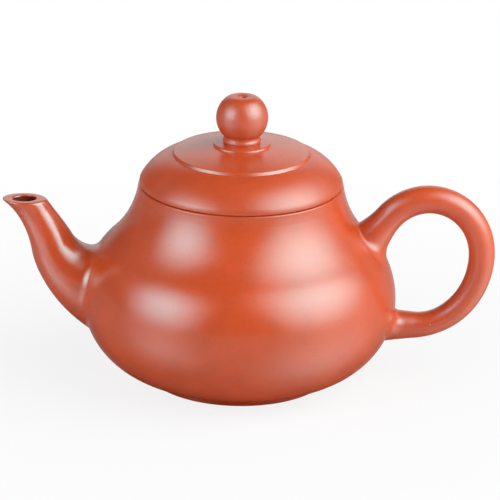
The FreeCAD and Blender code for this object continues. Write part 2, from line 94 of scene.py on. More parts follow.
class PotSizes(bpy.types.PropertyGroup):
    """Sizes of the wall, floor, foot and mouth."""
    belly_radius: length("Belly radius", "Half the pot's width", high("body_wall").y)
    belly_height: length("Belly height", "Height of the widest place", 23.5 * MM)
    toe_radius: length("Toe radius", "Half the wall's width at its bottom", 27.1 * MM)
    neck_radius: length("Neck radius", "Half the width at the mouth", 29.0 * MM)
    mouth_height: length("Mouth height", "Height of the rim", high("mouth_ring").z)
    bend_height: length("Bend height", "Where the shoulder turns into the neck", 42.5 * MM)
    turn_start: angle("Turn start", "Lean of the shoulder where it begins to turn tighter", 27.0)
    turn_end: angle("Turn end", "Lean of the outside where shoulder meets neck", 47.0)
    turn_arc: length("Turn arc", "Radius of the outside between shoulder and neck", 19.0 * MM)
    ring_foot: length("Ring foot", "Height at which the mouth ring begins", low("mouth_ring").z)
    wall: length("Wall", "Thickness of the wall", 2.8 * MM)
    base_radius: length("Floor radius", "Half the width of the floor slab", high("base_disc").x)
    floor_height: length("Floor height", "Height of the floor inside", high("base_disc").z)
    foot_radius: length("Foot radius", "Half the foot's width", high("foot_ring").x)
    foot_height: length("Foot height", "Height of the foot", high("foot_ring").z)
    foot_band: length("Foot band", "Width of the foot's ring", 3.6 * MM)
    mouth_radius: length("Mouth radius", "Half the width of the opening", 24.3 * MM)
    unevenness: length("Unevenness", "How far the hand left the clay off true", 0.025 * MM)
    uneven_size: length("Uneven size", "Width of one such place", 24.0 * MM)
    steps: IntProperty(name="Steps", description="Faces round the pot", default=288, min=24)


class LidSizes(bpy.types.PropertyGroup):
    """Sizes of the lid and its knob."""
    lid_radius: length("Lid radius", "Half the lid's width", high("lid_dome").x)
    lid_edge: length("Lid edge", "Height of the lid's upright edge", 1.2 * MM)
    dome_top: length("Dome top", "Height of the dome's flat", high("lid_dome").z)
    dome_arc: length("Dome arc", "Radius of the dome's bend", 14.7 * MM)
    lid_wall: length("Lid wall", "Thickness of the dome", 2.8 * MM)
    seat_gap: length("Seat gap", "Air between the lid and its seat", 0.05 * MM)
    flange_radius: length("Flange radius", "Half the skirt's width", high("lid_flange").x)
    flange_wall: length("Flange wall", "Thickness of the skirt", 2.4 * MM)
    flange_foot: length("Flange foot", "Height of the skirt's bottom", low("lid_flange").z)
    disc_radius: length("Disc radius", "Half the raised disc's width", high("lid_disc").x)
    disc_edge: length("Disc edge", "Height of the disc's upright edge", 0.9 * MM)
    disc_arc: length("Disc arc", "Radius of the disc's crown", 75.0 * MM)
    disc_top: length("Disc top", "Height of the disc's top", high("lid_disc").z)
    collar_radius: length("Collar radius", "Half the collar's width", high("knob_collar").x)
    collar_top: length("Collar top", "Height of the collar's top", high("knob_collar").z)
    knob_neck: length("Knob neck", "Half the neck's width", 5.15 * MM)
    bead_foot: length("Bead foot", "Neck below the bead", 0.15 * MM)
    bead_height: length("Bead height", "Height of the bead", 1.05 * MM)
    neck_rise: length("Neck rise", "Neck above the bead", 1.41 * MM)
    ball_foot: length("Ball foot", "Half the ball's width where it rises from the neck", 5.75 * MM)
    ball_radius: length("Ball radius", "Half the ball's width", high("knob").x)
    crown_radius: length("Crown radius", "Where the ball turns flatter", 5.2 * MM)
    crown_climb: length("Crown climb", "Rise of the flatter top", 0.8 * MM)
    vent_radius: length("Vent radius", "Half the vent hole's width", 0.7 * MM)
    dimple_radius: length("Dimple radius", "Half the vent dimple's width", 1.1 * MM)


class SpoutSizes(bpy.types.PropertyGroup):
    """Sizes of the spout and its strainer."""
    bend_offset: length("Bend offset", "From the belly out to the bend", 8.6 * MM)
    bend_rise: length("Bend rise", "From the belly up to the bend", 14.9 * MM)
    bend_angle: angle("Bend angle", "How steep the spout is at its bend", 69.0)
    root_arc: length("Root arc", "Radius of the lower bend", 18.8 * MM)
    lip_arc: length("Lip arc", "Radius of the upper bend", 46.0 * MM)
    mouth_height: length("Mouth height", "Height of the level mouth", high("spout").z)
    tip_radius: length("Tip radius", "Half the width at the mouth", 4.4 * MM)
    root_radius: length("Root radius", "Half the width at the wall", 10.6 * MM)
    flare: length("Flare", "How far the root spreads on to the wall", 2.6 * MM)
    lip_flare: length("Lip flare", "How far the lip turns out", 0.3 * MM)
    bore_tip: length("Bore tip", "Half the bore's width at the mouth", 2.6 * MM)
    bore_root: length("Bore root", "Half the bore's width at the wall", 6.9 * MM)
    growth: amount("Growth", "How late the spout widens, 1 for an even cone", 1.65)
    strainer_radius: length("Strainer radius", "Radius of the strainer's dome", 9.4 * MM)
    strainer_wall: length("Strainer wall", "Thickness of the dome", 1.7 * MM)
    hole_radius: length("Hole radius", "Half the width of a strainer hole", 1.1 * MM)


class HandleSizes(bpy.types.PropertyGroup):
    """Sizes of the ear handle."""
    offset: length("Offset", "From the belly out to the widest place", 24.2 * MM)
    mid_drop: length("Mid drop", "From the mouth down to the widest place", 20.5 * MM)
    crown_offset: length("Crown offset", "From the belly out to the crown", 8.9 * MM)
    crown_drop: length("Crown drop", "From the mouth down to the crown", 4.0 * MM)
    heel_offset: length("Heel offset", "From the belly out to the heel", 5.3 * MM)
    heel_drop: length("Heel drop", "From the belly down to the heel", 8.0 * MM)
    leave: angle("Leave", "Where the upper root leaves the crown", 139.0)
    top_root: length("Top root", "Length of the upper root", 14.0 * MM)
    heel_root: length("Heel root", "Length of the lower root", 13.0 * MM)
    top_radius: length("Top radius", "Half the width at the upper root", 4.1 * MM)
    heel_radius: length("Heel radius", "Half the width at the lower root", 3.4 * MM)
    top_flare: length("Top flare", "Spread of the upper root", 4.1 * MM)
    heel_flare: length("Heel flare", "Spread of the lower root", 2.1 * MM)


class ClayLooks(bpy.types.PropertyGroup):
    """Colours and finish of the clay."""
    outside: colour("Outside", "Burnished clay", (0.60, 0.078, 0.018))
    inside: colour("Inside", "Clay left matt from the tool", (0.52, 0.082, 0.034))
    speck: colour("Specks", "Iron specks in the clay", (0.16, 0.030, 0.018))
    sheen: share("Sheen", "How much of a polished skin the burnishing leaves", 0.85)
    sheen_tint: colour("Sheen tint", "Colour of what the polished skin reflects", (0.5, 0.95, 0.96))
    burnish: share("Burnished roughness", "Roughness of the polished skin", 0.22)
    matt: share("Inner roughness", "Roughness of the inner face", 0.72)
    grain_size: length("Grain size", "Width of a grain of the clay", 0.42 * MM)
    mottle_size: length("Mottle size", "Width of a cloud in the colour", 12.0 * MM)
    grain_depth: length("Grain depth", "Depth of the grain", 0.026 * MM)
    mark_depth: length("Mark depth", "Depth of the burnishing strokes", 0.006 * MM)
    pit_depth: length("Pit depth", "Depth of a pinhole", 0.10 * MM)


class StageLooks(bpy.types.PropertyGroup):
    """The floor, the lights and the camera."""
    floor: colour("Floor", "Pale floor", (0.86, 0.86, 0.86))
    left_bright: amount("Left brightness", "How bright the softbox by the spout looks", 4.85)
    left_turn: angle("Left turn", "How far the softbox by the spout stands to the side", 58.5)
    left_rise: angle("Left rise", "How high the softbox by the spout stands", 22.0)
    left_width: length("Left width", "Width of the softbox by the spout", 0.72)
    left_height: length("Left height", "Height of the softbox by the spout", 0.66)
    right_bright: amount("Right brightness", "How bright the softbox by the handle looks", 5.2)
    right_turn: angle("Right turn", "How far the softbox by the handle stands to the side", 67.0)
    right_rise: angle("Right rise", "How high the softbox by the handle stands", 33.0)
    right_width: length("Right width", "Width of the softbox by the handle", 1.05)
    right_height: length("Right height", "Height of the softbox by the handle", 0.95)
    left_colour: colour("Left colour", "Colour of the softbox by the spout", (0.94, 0.94, 1.0))
    right_colour: colour("Right colour", "Colour of the softbox by the handle", (0.97, 1.0, 1.0))
    left_card: amount("Left card", "How bright the card by the spout looks", 0.14)
    right_card: amount("Right card", "How bright the card by the handle looks", 0.62)
    card_turn: angle("Card turn", "How far the two cards stand to the side", 106.0)
    card_rise: angle("Card rise", "How high the two cards stand", 28.0)
    card_size: length("Card size", "Width and height of a card", 1.0)
    room: amount("Room light", "Strength of the light from all round", 0.05)
    back: amount("Back light", "How bright the wall behind the pot looks, 1 for white", 1.0)
    back_rise: angle("Back rise", "How high up that wall is lit", 15.0)
    distance: length("Camera distance", "From the pot's middle to the camera", 1.0)
    elevation: angle("Camera elevation", "How high the camera stands", 19.98)
    roll: angle("Camera roll", "How far the camera leans", 0.96)
    aim_height: length("Aim height", "Height of the place that the camera looks at", 40.0 * MM)
    lens: FloatProperty(name="Lens", description="Focal length", default=253.0, unit="CAMERA")


# Node trees

class Wiring:
    """Adds the nodes of one tree and joins them."""

    def __init__(self, tree):
        self.tree = tree

    def node(self, kind, inputs=None, **settings):
        made = self.tree.nodes.new(kind)
        for name, setting in settings.items():
            setattr(made, name, setting)
        for name, content in (inputs or {}).items():
            self.feed(made.inputs[name], content)
        return made

    def feed(self, socket, content):
        if isinstance(content, bpy.types.NodeSocket):
            self.tree.links.new(content, socket)
        else:
            socket.default_value = content

    def math(self, operation, *terms, clamp=False):
        made = self.node("ShaderNodeMath", operation=operation, use_clamp=clamp)
        for socket, term in zip(made.inputs, terms):
            self.feed(socket, term)
        return made.outputs[0]

    def vector_math(self, operation, *terms):
        made = self.node("ShaderNodeVectorMath", operation=operation)
        for socket, term in zip(made.inputs, terms):
            self.feed(socket, term)
        return made.outputs["Value" if operation in ("LENGTH", "DOT_PRODUCT") else "Vector"]

    def scaled(self, vector, factor):
        return self.node("ShaderNodeVectorMath", {"Vector": vector, "Scale": factor},
                         operation="SCALE").outputs["Vector"]

    def ramp(self, factor, low_at, high_at, low_to=0.0, high_to=1.0):
        """A smooth step from one value to another."""
        return self.node("ShaderNodeMapRange", {
            "Value": factor, "From Min": low_at, "From Max": high_at, "To Min": low_to,
            "To Max": high_to}, interpolation_type="SMOOTHSTEP").outputs["Result"]

    def blend(self, factor, first, second):
        """A mix of two colours."""
        made = self.node("ShaderNodeMix", data_type="RGBA")
        by_name = {(s.name, s.type): s for s in made.inputs}
        self.feed(by_name["Factor", "VALUE"], factor)
        self.feed(by_name["A", "RGBA"], first)
        self.feed(by_name["B", "RGBA"], second)
        return next(s for s in made.outputs if s.type == "RGBA")

    def mixed(self, factor, first, second):
        """A mix of two shaders."""
        made = self.node("ShaderNodeMixShader", {"Fac": factor})
        self.feed(made.inputs[1], first)
        self.feed(made.inputs[2], second)
        return made.outputs["Shader"]

    def group(self, tree, inputs):
        """The outputs of a group that is placed in this tree."""
        kind = tree.bl_idname.replace("Tree", "Group")
        return self.node(kind, inputs, node_tree=tree).outputs


def new_group(name, kind, inputs, outputs):
    """An empty node group with named sockets, and its input and output nodes."""
    tree = bpy.data.node_groups.new(name, kind)
    for label, sort, default in inputs:
        socket = tree.interface.new_socket(label, in_out="INPUT", socket_type="NodeSocket" + sort)
        if default is not None:
            socket.default_value = default
    for label, sort in outputs:
        tree.interface.new_socket(label, in_out="OUTPUT", socket_type="NodeSocket" + sort)
    wiring = Wiring(tree)
    given = wiring.node("NodeGroupInput").outputs
    result = wiring.node("NodeGroupOutput").inputs
    return tree, wiring, given, result


def kept_group(name, maker):
    """A node group by name, made on its first use."""
    return bpy.data.node_groups.get(name) or maker(name)


def socket_id(tree, label):
    """The identifier of a tree's input."""
    return next(i.identifier for i in tree.interface.items_tree
                if i.item_type == "SOCKET" and i.in_out == "INPUT" and i.name == label)


# Clay materials

# How close the specks stand, by the grain, and where a speck fades out in its cell
SPECK_SPREAD, SPECK_EDGE = 0.3, (0.12, 0.26)
# The narrowest pinhole, by the named width, and where a pinhole fades out in its own width
LEAST_PIT, PIT_EDGE = 0.4, (0.45, 1.0)


def grain_group(name):
    """Fine grain, clouds of colour and iron specks."""
    tree, w, given, result = new_group(
        name, "ShaderNodeTree",
        [("Place", "Vector", None), ("Grain Size", "Float", 0.0003),
         ("Mottle Size", "Float", 0.012), ("Speck Share", "Float", 0.1)],
        [("Grain", "Float"), ("Mottle", "Float"),
         ("Specks", "Float")])
    fine = w.math("DIVIDE", 1.0, given["Grain Size"])
    grain = w.node("ShaderNodeTexNoise", {"Vector": given["Place"], "Scale": fine,
                                          "Detail": 3.0, "Roughness": 0.6})
    wide = w.math("DIVIDE", 1.0, given["Mottle Size"])
    mottle = w.node("ShaderNodeTexNoise", {"Vector": given["Place"], "Scale": wide,
                                           "Detail": 4.0, "Roughness": 0.55})
    cells = w.node("ShaderNodeTexVoronoi", {"Vector": given["Place"],
                                            "Scale": w.math("MULTIPLY", fine, SPECK_SPREAD)})
    pick = w.node("ShaderNodeSeparateColor", {"Color": cells.outputs["Color"]})
    chosen = w.math("LESS_THAN", pick.outputs["Red"], given["Speck Share"])
    dot = w.ramp(cells.outputs["Distance"], *SPECK_EDGE, 1.0, 0.0)
    w.feed(result["Grain"], grain.outputs["Fac"])
    w.feed(result["Mottle"], mottle.outputs["Fac"])
    w.feed(result["Specks"], w.math("MULTIPLY", chosen, dot))
    return tree


def strokes_group(name):
    """Strokes of the burnishing tool about the pot's axis."""
    tree, w, given, result = new_group(
        name, "ShaderNodeTree",
        [("Place", "Vector", None), ("Around", "Float", 6.0), ("Close", "Float", 1500.0)],
        [("Strokes", "Float")])
    parts = w.node("ShaderNodeSeparateXYZ", {"Vector": given["Place"]}).outputs
    flat = w.node("ShaderNodeCombineXYZ", {"X": parts["X"], "Y": parts["Y"]}).outputs["Vector"]
    ring = w.scaled(w.vector_math("NORMALIZE", flat), given["Around"])
    rise = w.math("MULTIPLY", parts["Z"], given["Close"])
    lift = w.node("ShaderNodeCombineXYZ", {"Z": rise}).outputs["Vector"]
    reach = w.math("MULTIPLY", w.vector_math("LENGTH", flat), given["Close"])
    noise = w.node("ShaderNodeTexNoise", {
        "Vector": w.vector_math("ADD", ring, lift), "W": reach, "Scale": 1.0, "Detail": 2.0,
        "Roughness": 0.5}, noise_dimensions="4D")
    w.feed(result["Strokes"], noise.outputs["Fac"])
    return tree


def pits_group(name):
    """Scattered pinholes."""
    tree, w, given, result = new_group(
        name, "ShaderNodeTree",
        [("Place", "Vector", None), ("Spacing", "Float", 0.006),
         ("Width", "Float", 0.0004), ("Share", "Float", 0.3)],
        [("Pits", "Float")])
    cells = w.node("ShaderNodeTexVoronoi", {
        "Vector": given["Place"], "Scale": w.math("DIVIDE", 1.0, given["Spacing"])})
    pick = w.node("ShaderNodeSeparateColor", {"Color": cells.outputs["Color"]})
    chosen = w.math("LESS_THAN", pick.outputs["Red"], given["Share"])
    reach = w.math("DIVIDE", given["Width"], given["Spacing"])
    wide = w.math("MULTIPLY", reach, w.math("ADD", pick.outputs["Green"], LEAST_PIT))
    near = w.math("DIVIDE", cells.outputs["Distance"], wide)
    w.feed(result["Pits"], w.math("MULTIPLY", chosen, w.ramp(near, *PIT_EDGE, 1.0, 0.0)))
    return tree


def shade(rgb, factor):
    """A colour made darker or lighter."""
    return (rgb[0] * factor, rgb[1] * factor, rgb[2] * factor, 1.0)


# What sets one clay finish apart from another. Around and close are how fast its strokes change
# round the pot and across them, and streaks and dull are added to its roughness.
# Tone scales the colour: painted light on the handle, painted shade on foot, bore and vent.
Finish = collections.namedtuple(
    "Finish", "inside around close grain marks pits specks specular tone streaks dull",
    defaults=(False, 6.0, 1500.0, 1.0, 1.5, 0.25, 0.10, 0.5, 1.0, 0.05, 0.0))

FINISHES = {
    "clay_turned": Finish(pits=0.0),
    "clay_lid": Finish(specular=0.48, dull=0.09),
    "clay_disc": Finish(specular=0.62, dull=0.03),
    "clay_knob": Finish(around=15.0, close=120.0, marks=6.0, streaks=0.22, specular=0.6,
                        dull=0.11),
    "clay_worked": Finish(around=14.0, close=420.0, marks=0.8, pits=0.42, specular=0.7,
                          tone=1.05, dull=-0.03),
    # Painted light: the handle's colour is made lighter, standing in for light falling on it
    "clay_handle": Finish(around=14.0, close=420.0, marks=0.8, pits=0.42, specular=0.55,
                          tone=1.1, dull=0.09),
    # Painted shade: the foot's colour is darkened, standing in for the shade under the pot
    "clay_foot": Finish(grain=2.0, marks=0.7, pits=0.3, specular=0.12, tone=0.92),
    # Painted shade: the spout's bore and the knob's vent are darkened, standing in for the shade
    # deep in them
    "clay_stained": Finish(inside=True, tone=0.28, around=5.0, close=700.0, grain=2.6, marks=2.0,
                           pits=0.3, specks=0.14, specular=0.12),
    "clay_inside": Finish(inside=True, around=5.0, close=700.0, grain=2.6, marks=4.0, pits=0.3,
                          specks=0.14, specular=0.4),
}
BURNISHED_IOR, MATT_IOR = 2.05, 1.5
WHITE = (1.0, 1.0, 1.0, 1.0)
DARK_CLOUD, PALE_CLOUD = 0.88, 1.11
CLOUD_EDGE, STREAK_EDGE = (0.3, 0.7), (0.3, 0.75)
# How much of the clouds comes from the mottle and from the grain
MOTTLE_PART, GRAIN_PART = 0.6, 0.4
# How far streaks and specks colour the clay, and how far pinholes are darkened as painted shade
STREAK_PART, SPECK_PART, PIT_PAINTED_SHADE = 0.2, 0.25, 0.5
# What the mottle and the pinholes add to the roughness
MOTTLE_DULL, PIT_DULL = 0.08, 0.1


def clay(name):
    """A clay finish, made on its first use."""
    found = bpy.data.materials.get(name)
    if found:
        return found
    finish = FINISHES[name]
    looks = bpy.context.scene.clay_looks
    base = [finish.tone * part for part in (looks.inside if finish.inside else looks.outside)]
    rough = looks.matt if finish.inside else looks.burnish + finish.dull
    material = bpy.data.materials.new(name)
    material.use_nodes = True
    material.diffuse_color = (*base, 1.0)
    tree = material.node_tree
    tree.nodes.clear()
    w = Wiring(tree)
    place = w.node("ShaderNodeTexCoord").outputs["Object"]

    grain = w.group(kept_group("Clay grain", grain_group), {
        "Place": place, "Grain Size": looks.grain_size, "Mottle Size": looks.mottle_size,
        "Speck Share": finish.specks})
    strokes = w.group(kept_group("Burnish strokes", strokes_group), {
        "Place": place, "Around": finish.around, "Close": finish.close})["Strokes"]
    pits = w.group(kept_group("Pinholes", pits_group), {
        "Place": place, "Share": finish.pits})["Pits"]

    dark, speck = shade(base, DARK_CLOUD), (*looks.speck, 1.0)
    cloud = w.math("MULTIPLY", w.ramp(grain["Mottle"], *CLOUD_EDGE), MOTTLE_PART)
    cloud = w.math("MULTIPLY_ADD", w.ramp(grain["Grain"], *CLOUD_EDGE), GRAIN_PART, cloud)
    colour_now = w.blend(cloud, dark, shade(base, PALE_CLOUD))
    colour_now = w.blend(w.ramp(strokes, *STREAK_EDGE, 0.0, STREAK_PART), colour_now, dark)
    colour_now = w.blend(w.math("MULTIPLY", grain["Specks"], SPECK_PART), colour_now, speck)
    # Painted shade: the pinholes are darkened toward the specks' colour
    colour_now = w.blend(w.math("MULTIPLY", pits, PIT_PAINTED_SHADE), colour_now, speck)

    grain_height = w.math("MULTIPLY", grain["Grain"], looks.grain_depth * finish.grain)
    stroke_height = w.math("MULTIPLY", strokes, looks.mark_depth * finish.marks)
    pit_height = w.math("MULTIPLY", pits, -looks.pit_depth)
    height = w.math("ADD", w.math("ADD", grain_height, stroke_height), pit_height)
    bump = w.node("ShaderNodeBump", {"Strength": 1.0, "Distance": 1.0, "Height": height})

    dull = w.math("MULTIPLY_ADD", grain["Mottle"], MOTTLE_DULL, rough - MOTTLE_DULL / 2)
    dull = w.math("MULTIPLY_ADD", strokes, finish.streaks,
                  w.math("SUBTRACT", dull, finish.streaks / 2))
    dull = w.math("MULTIPLY_ADD", pits, PIT_DULL, dull, clamp=True)
    shader = w.node("ShaderNodeBsdfPrincipled", {
        "Base Color": colour_now, "Roughness": dull, "Normal": bump.outputs["Normal"],
        "IOR": MATT_IOR if finish.inside else BURNISHED_IOR,
        "Specular IOR Level": finish.specular if finish.inside else looks.sheen * finish.specular,
        "Specular Tint": WHITE if finish.inside else (*looks.sheen_tint, 1.0)})
    w.node("ShaderNodeOutputMaterial", {"Surface": shader.outputs["BSDF"]})
    return material


# Turned pieces

# A corner of a half outline. The way to the next corner is straight, or an arc, which is hollow
# where it bends into the solid. Outlines run with the solid on their left. A run that touches
# another piece is kept true.
Corner = collections.namedtuple("Corner", "radius height arc hollow inside touches",
                                defaults=(None, False, False, False))

# The longest step along an outline, by its turn and by its length
ARC_STEP, RUN_STEP = math.radians(9), 1.1 * MM
# How far from a touching run the clay is uneven in full
TRUE_REACH = 5.0 * MM
# The circle that an outline is swept along, and how near its ends are made one
TURN_RADIUS, SEAM = 50.0 * MM, 0.002 * MM


def eased(part):
    """A smooth step from 0 to 1."""
    part = min(max(part, 0.0), 1.0)
    return part * part * (3 - 2 * part)


def arc_run(start, end, radius, hollow):
    """Points of an arc after its start, up to its end."""
    chord = end - start
    left = Vector((-chord.y, chord.x)).normalized()
    offset = math.sqrt(max(radius ** 2 - chord.length_squared / 4, 0.0))
    centre = (start + end) / 2 + left * (-offset if hollow else offset)
    first = math.atan2(start.y - centre.y, start.x - centre.x)
    sweep = 2 * math.asin(min(chord.length / 2 / radius, 1.0)) * (-1 if hollow else 1)
    count = max(3, math.ceil(abs(sweep) / ARC_STEP), math.ceil(abs(sweep) * radius / RUN_STEP))
    return [centre + radius * Vector((math.cos(first + sweep * k / count),
                                      math.sin(first + sweep * k / count)))
            for k in range(1, count + 1)]


def straight_run(start, end):
    count = max(1, math.ceil((end - start).length / RUN_STEP))
    return [start.lerp(end, k / count) for k in range(1, count + 1)]


def profile_mesh(name, corners, is_open):
    """The half outline as a line of edges, with what the turning needs to know of each point."""
    points, inside, touching = [], [], []
    ends = corners[1:] if is_open else corners[1:] + corners[:1]
    for here, there in zip(corners, ends):
        start = Vector((here.radius, here.height))
        end = Vector((there.radius, there.height))
        run = arc_run(start, end, here.arc, here.hollow) if here.arc else straight_run(start, end)
        run = [start] + run
        if here.touches:
            touching += run
        points += run if is_open and there is ends[-1] else run[:-1]
        inside += [1.0 if here.inside else 0.0] * (len(points) - len(inside))
    free = [eased(min(((point - t).length for t in touching), default=TRUE_REACH) / TRUE_REACH)
            for point in points]
    mesh = bpy.data.meshes.new(name)
    count = len(points)
    edges = [(k, (k + 1) % count) for k in range(count - 1 if is_open else count)]
    mesh.from_pydata([(p.x - TURN_RADIUS, -p.y, 0.0) for p in points], edges, [])
    for label, column in (("inside", inside), ("free", free)):
        mesh.attributes.new(label, "FLOAT", "POINT").data.foreach_set("value", column)
    return mesh


def uneven_group(name):
    """Moves clay in and out a little, where it touches nothing."""
    tree, w, given, result = new_group(
        name, "GeometryNodeTree",
        [("Geometry", "Geometry", None), ("Unevenness", "Float", 0.0),
         ("Uneven Size", "Float", 0.02)],
        [("Geometry", "Geometry")])
    noise = w.node("ShaderNodeTexNoise", {
        "Vector": w.node("GeometryNodeInputPosition").outputs[0], "Detail": 2.0,
        "Scale": w.math("DIVIDE", 1.0, given["Uneven Size"]), "Roughness": 0.45})
    swing = w.math("MULTIPLY", w.math("SUBTRACT", noise.outputs["Fac"], 0.5), 2.0)
    free = w.node("GeometryNodeInputNamedAttribute", {"Name": "free"}, data_type="FLOAT")
    depth = w.math("MULTIPLY", w.math("MULTIPLY", swing, given["Unevenness"]),
                   free.outputs["Attribute"])
    offset = w.scaled(w.node("GeometryNodeInputNormal").outputs[0], depth)
    moved = w.node("GeometryNodeSetPosition", {"Geometry": given["Geometry"], "Offset": offset})
    w.feed(result["Geometry"], moved.outputs["Geometry"])
    return tree


def dressed_ends(w, geometry, given, result):
    """Ends a tree: makes the clay uneven, smooth and real, and gives it its two finishes."""
    uneven = w.group(kept_group("Uneven clay", uneven_group), {
        "Geometry": geometry, "Unevenness": given["Unevenness"],
        "Uneven Size": given["Uneven Size"]})
    smooth = w.node("GeometryNodeSetShadeSmooth", {"Geometry": uneven["Geometry"]})
    real = w.node("GeometryNodeRealizeInstances", {"Geometry": smooth.outputs["Geometry"]})
    coat = w.node("GeometryNodeSetMaterial", {"Geometry": real.outputs["Geometry"],
                                              "Material": given["Outside"]})
    inner = w.node("GeometryNodeInputNamedAttribute", {"Name": "inside"}, data_type="FLOAT")
    lining = w.node("GeometryNodeSetMaterial", {
        "Geometry": coat.outputs["Geometry"], "Material": given["Inside"],
        "Selection": w.math("GREATER_THAN", inner.outputs["Attribute"], 0.5)})
    w.feed(result["Geometry"], lining.outputs["Geometry"])


CLAY_INPUTS = [("Geometry", "Geometry", None), ("Unevenness", "Float", 0.0),
               ("Uneven Size", "Float", 0.02), ("Outside", "Material", None),
               ("Inside", "Material", None)]


def turned_group(name):
    """Turns a half outline about the pot's axis."""
    tree, w, given, result = new_group(
        name, "GeometryNodeTree", CLAY_INPUTS + [("Steps", "Int", 96)],
        [("Geometry", "Geometry")])
    outline = w.node("GeometryNodeMeshToCurve", {"Mesh": given["Geometry"]})
    path = w.node("GeometryNodeCurvePrimitiveCircle", {"Resolution": given["Steps"],
                                                       "Radius": TURN_RADIUS})
    upright = w.node("GeometryNodeSetCurveNormal", {"Curve": path.outputs["Curve"]}, mode="Z_UP")
    swept = w.node("GeometryNodeCurveToMesh", {"Curve": upright.outputs["Curve"],
                                               "Profile Curve": outline.outputs["Curve"]})
    closed = w.node("GeometryNodeMergeByDistance", {"Geometry": swept.outputs["Mesh"],
                                                    "Distance": SEAM})
    dressed_ends(w, closed.outputs["Geometry"], given, result)
    return tree


def worked_group(name):
    """Gives a piece formed by hand its unevenness and finish."""
    tree, w, given, result = new_group(name, "GeometryNodeTree", CLAY_INPUTS,
                                       [("Geometry", "Geometry")])
    dressed_ends(w, given["Geometry"], given, result)
    return tree


def placed(name, mesh):
    """A new object in the scene."""
    piece = bpy.data.objects.new(name, mesh)
    bpy.context.scene.collection.objects.link(piece)
    return piece


def with_nodes(piece, tree, inputs):
    """Adds a node tree to a piece, with its inputs set."""
    modifier = piece.modifiers.new(tree.name, "NODES")
    modifier.node_group = tree
    for label, content in inputs.items():
        modifier[socket_id(tree, label)] = content


def made_plain(piece):
    """Turns what a piece's modifiers make into its own mesh."""
    graph = bpy.context.evaluated_depsgraph_get()
    mesh = bpy.data.meshes.new_from_object(piece.evaluated_get(graph), depsgraph=graph)
    old = piece.data
    piece.modifiers.clear()
    piece.data = mesh
    bpy.data.meshes.remove(old)
    mesh.name = piece.name
    return mesh


def outward(mesh):
    """Turns a closed mesh's faces outwards."""
    shell = bmesh.new()
    shell.from_mesh(mesh)
    bmesh.ops.recalc_face_normals(shell, faces=shell.faces)
    shell.to_mesh(mesh)
    shell.free()
    if sum(f.area * f.normal.dot(f.center - Vector((0, 0, -1))) for f in mesh.polygons) < 0:
        mesh.flip_normals()


# Edges shorter than this go, and faces with a corner wider than this are cut up
SLIVER, STRAIGHT = 0.003 * MM, math.radians(150)


def cleared(mesh):
    """Takes away the slivers and folded faces that a cut leaves along its edge."""
    shell = bmesh.new()
    shell.from_mesh(mesh)
    bmesh.ops.remove_doubles(shell, verts=shell.verts, dist=SLIVER)
    bmesh.ops.dissolve_degenerate(shell, edges=shell.edges, dist=SLIVER)
    bmesh.ops.triangulate(shell, faces=[
        face for face in shell.faces if len(face.verts) > 4
        or max(corner.calc_angle() for corner in face.loops) > STRAIGHT])
    alike = collections.defaultdict(list)
    for face in shell.faces:
        alike[frozenset(face.verts)].append(face)
    folded = [face for faces in alike.values() if len(faces) > 1 for face in faces]
    bmesh.ops.delete(shell, geom=folded, context="FACES")
    shell.to_mesh(mesh)
    shell.free()


# Edges that turn by more than this stay sharp
SHARP = math.radians(38)


def finished(piece, body, node):
    """Shades a piece, and puts it on its body in the place of its solid."""
    if not piece.data.polygons:
        raise RuntimeError(f"{piece.name} has no faces")
    piece.data.shade_smooth()
    piece.data.set_sharp_from_angle(angle=SHARP)
    for label in ("inside", "free"):
        if label in piece.data.attributes:
            piece.data.attributes.remove(piece.data.attributes[label])
    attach(piece, body)
    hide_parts(node)


def formed(name, mesh, tree, outside, inside="clay_inside", even=1.0, **inputs):
    """A piece that a node tree makes from a mesh, as a plain mesh."""
    pot = bpy.context.scene.pot_sizes
    piece = placed(name, mesh)
    with_nodes(piece, tree, {
        "Unevenness": pot.unevenness * even, "Uneven Size": pot.uneven_size,
        "Outside": clay(outside), "Inside": clay(inside), **inputs})
    outward(made_plain(piece))
    return piece


def turned_form(name, corners, *finishes, is_open=False, even=1.0):
    """A piece turned about the pot's axis."""
    return formed(name, profile_mesh(name, corners, is_open),
                  kept_group("Turned clay", turned_group), *finishes, even=even,
                  Steps=bpy.context.scene.pot_sizes.steps)


def worked_form(name, mesh, *finishes):
    """A piece formed by hand."""
    return formed(name, mesh, kept_group("Worked clay", worked_group), *finishes)


# The pot's wall

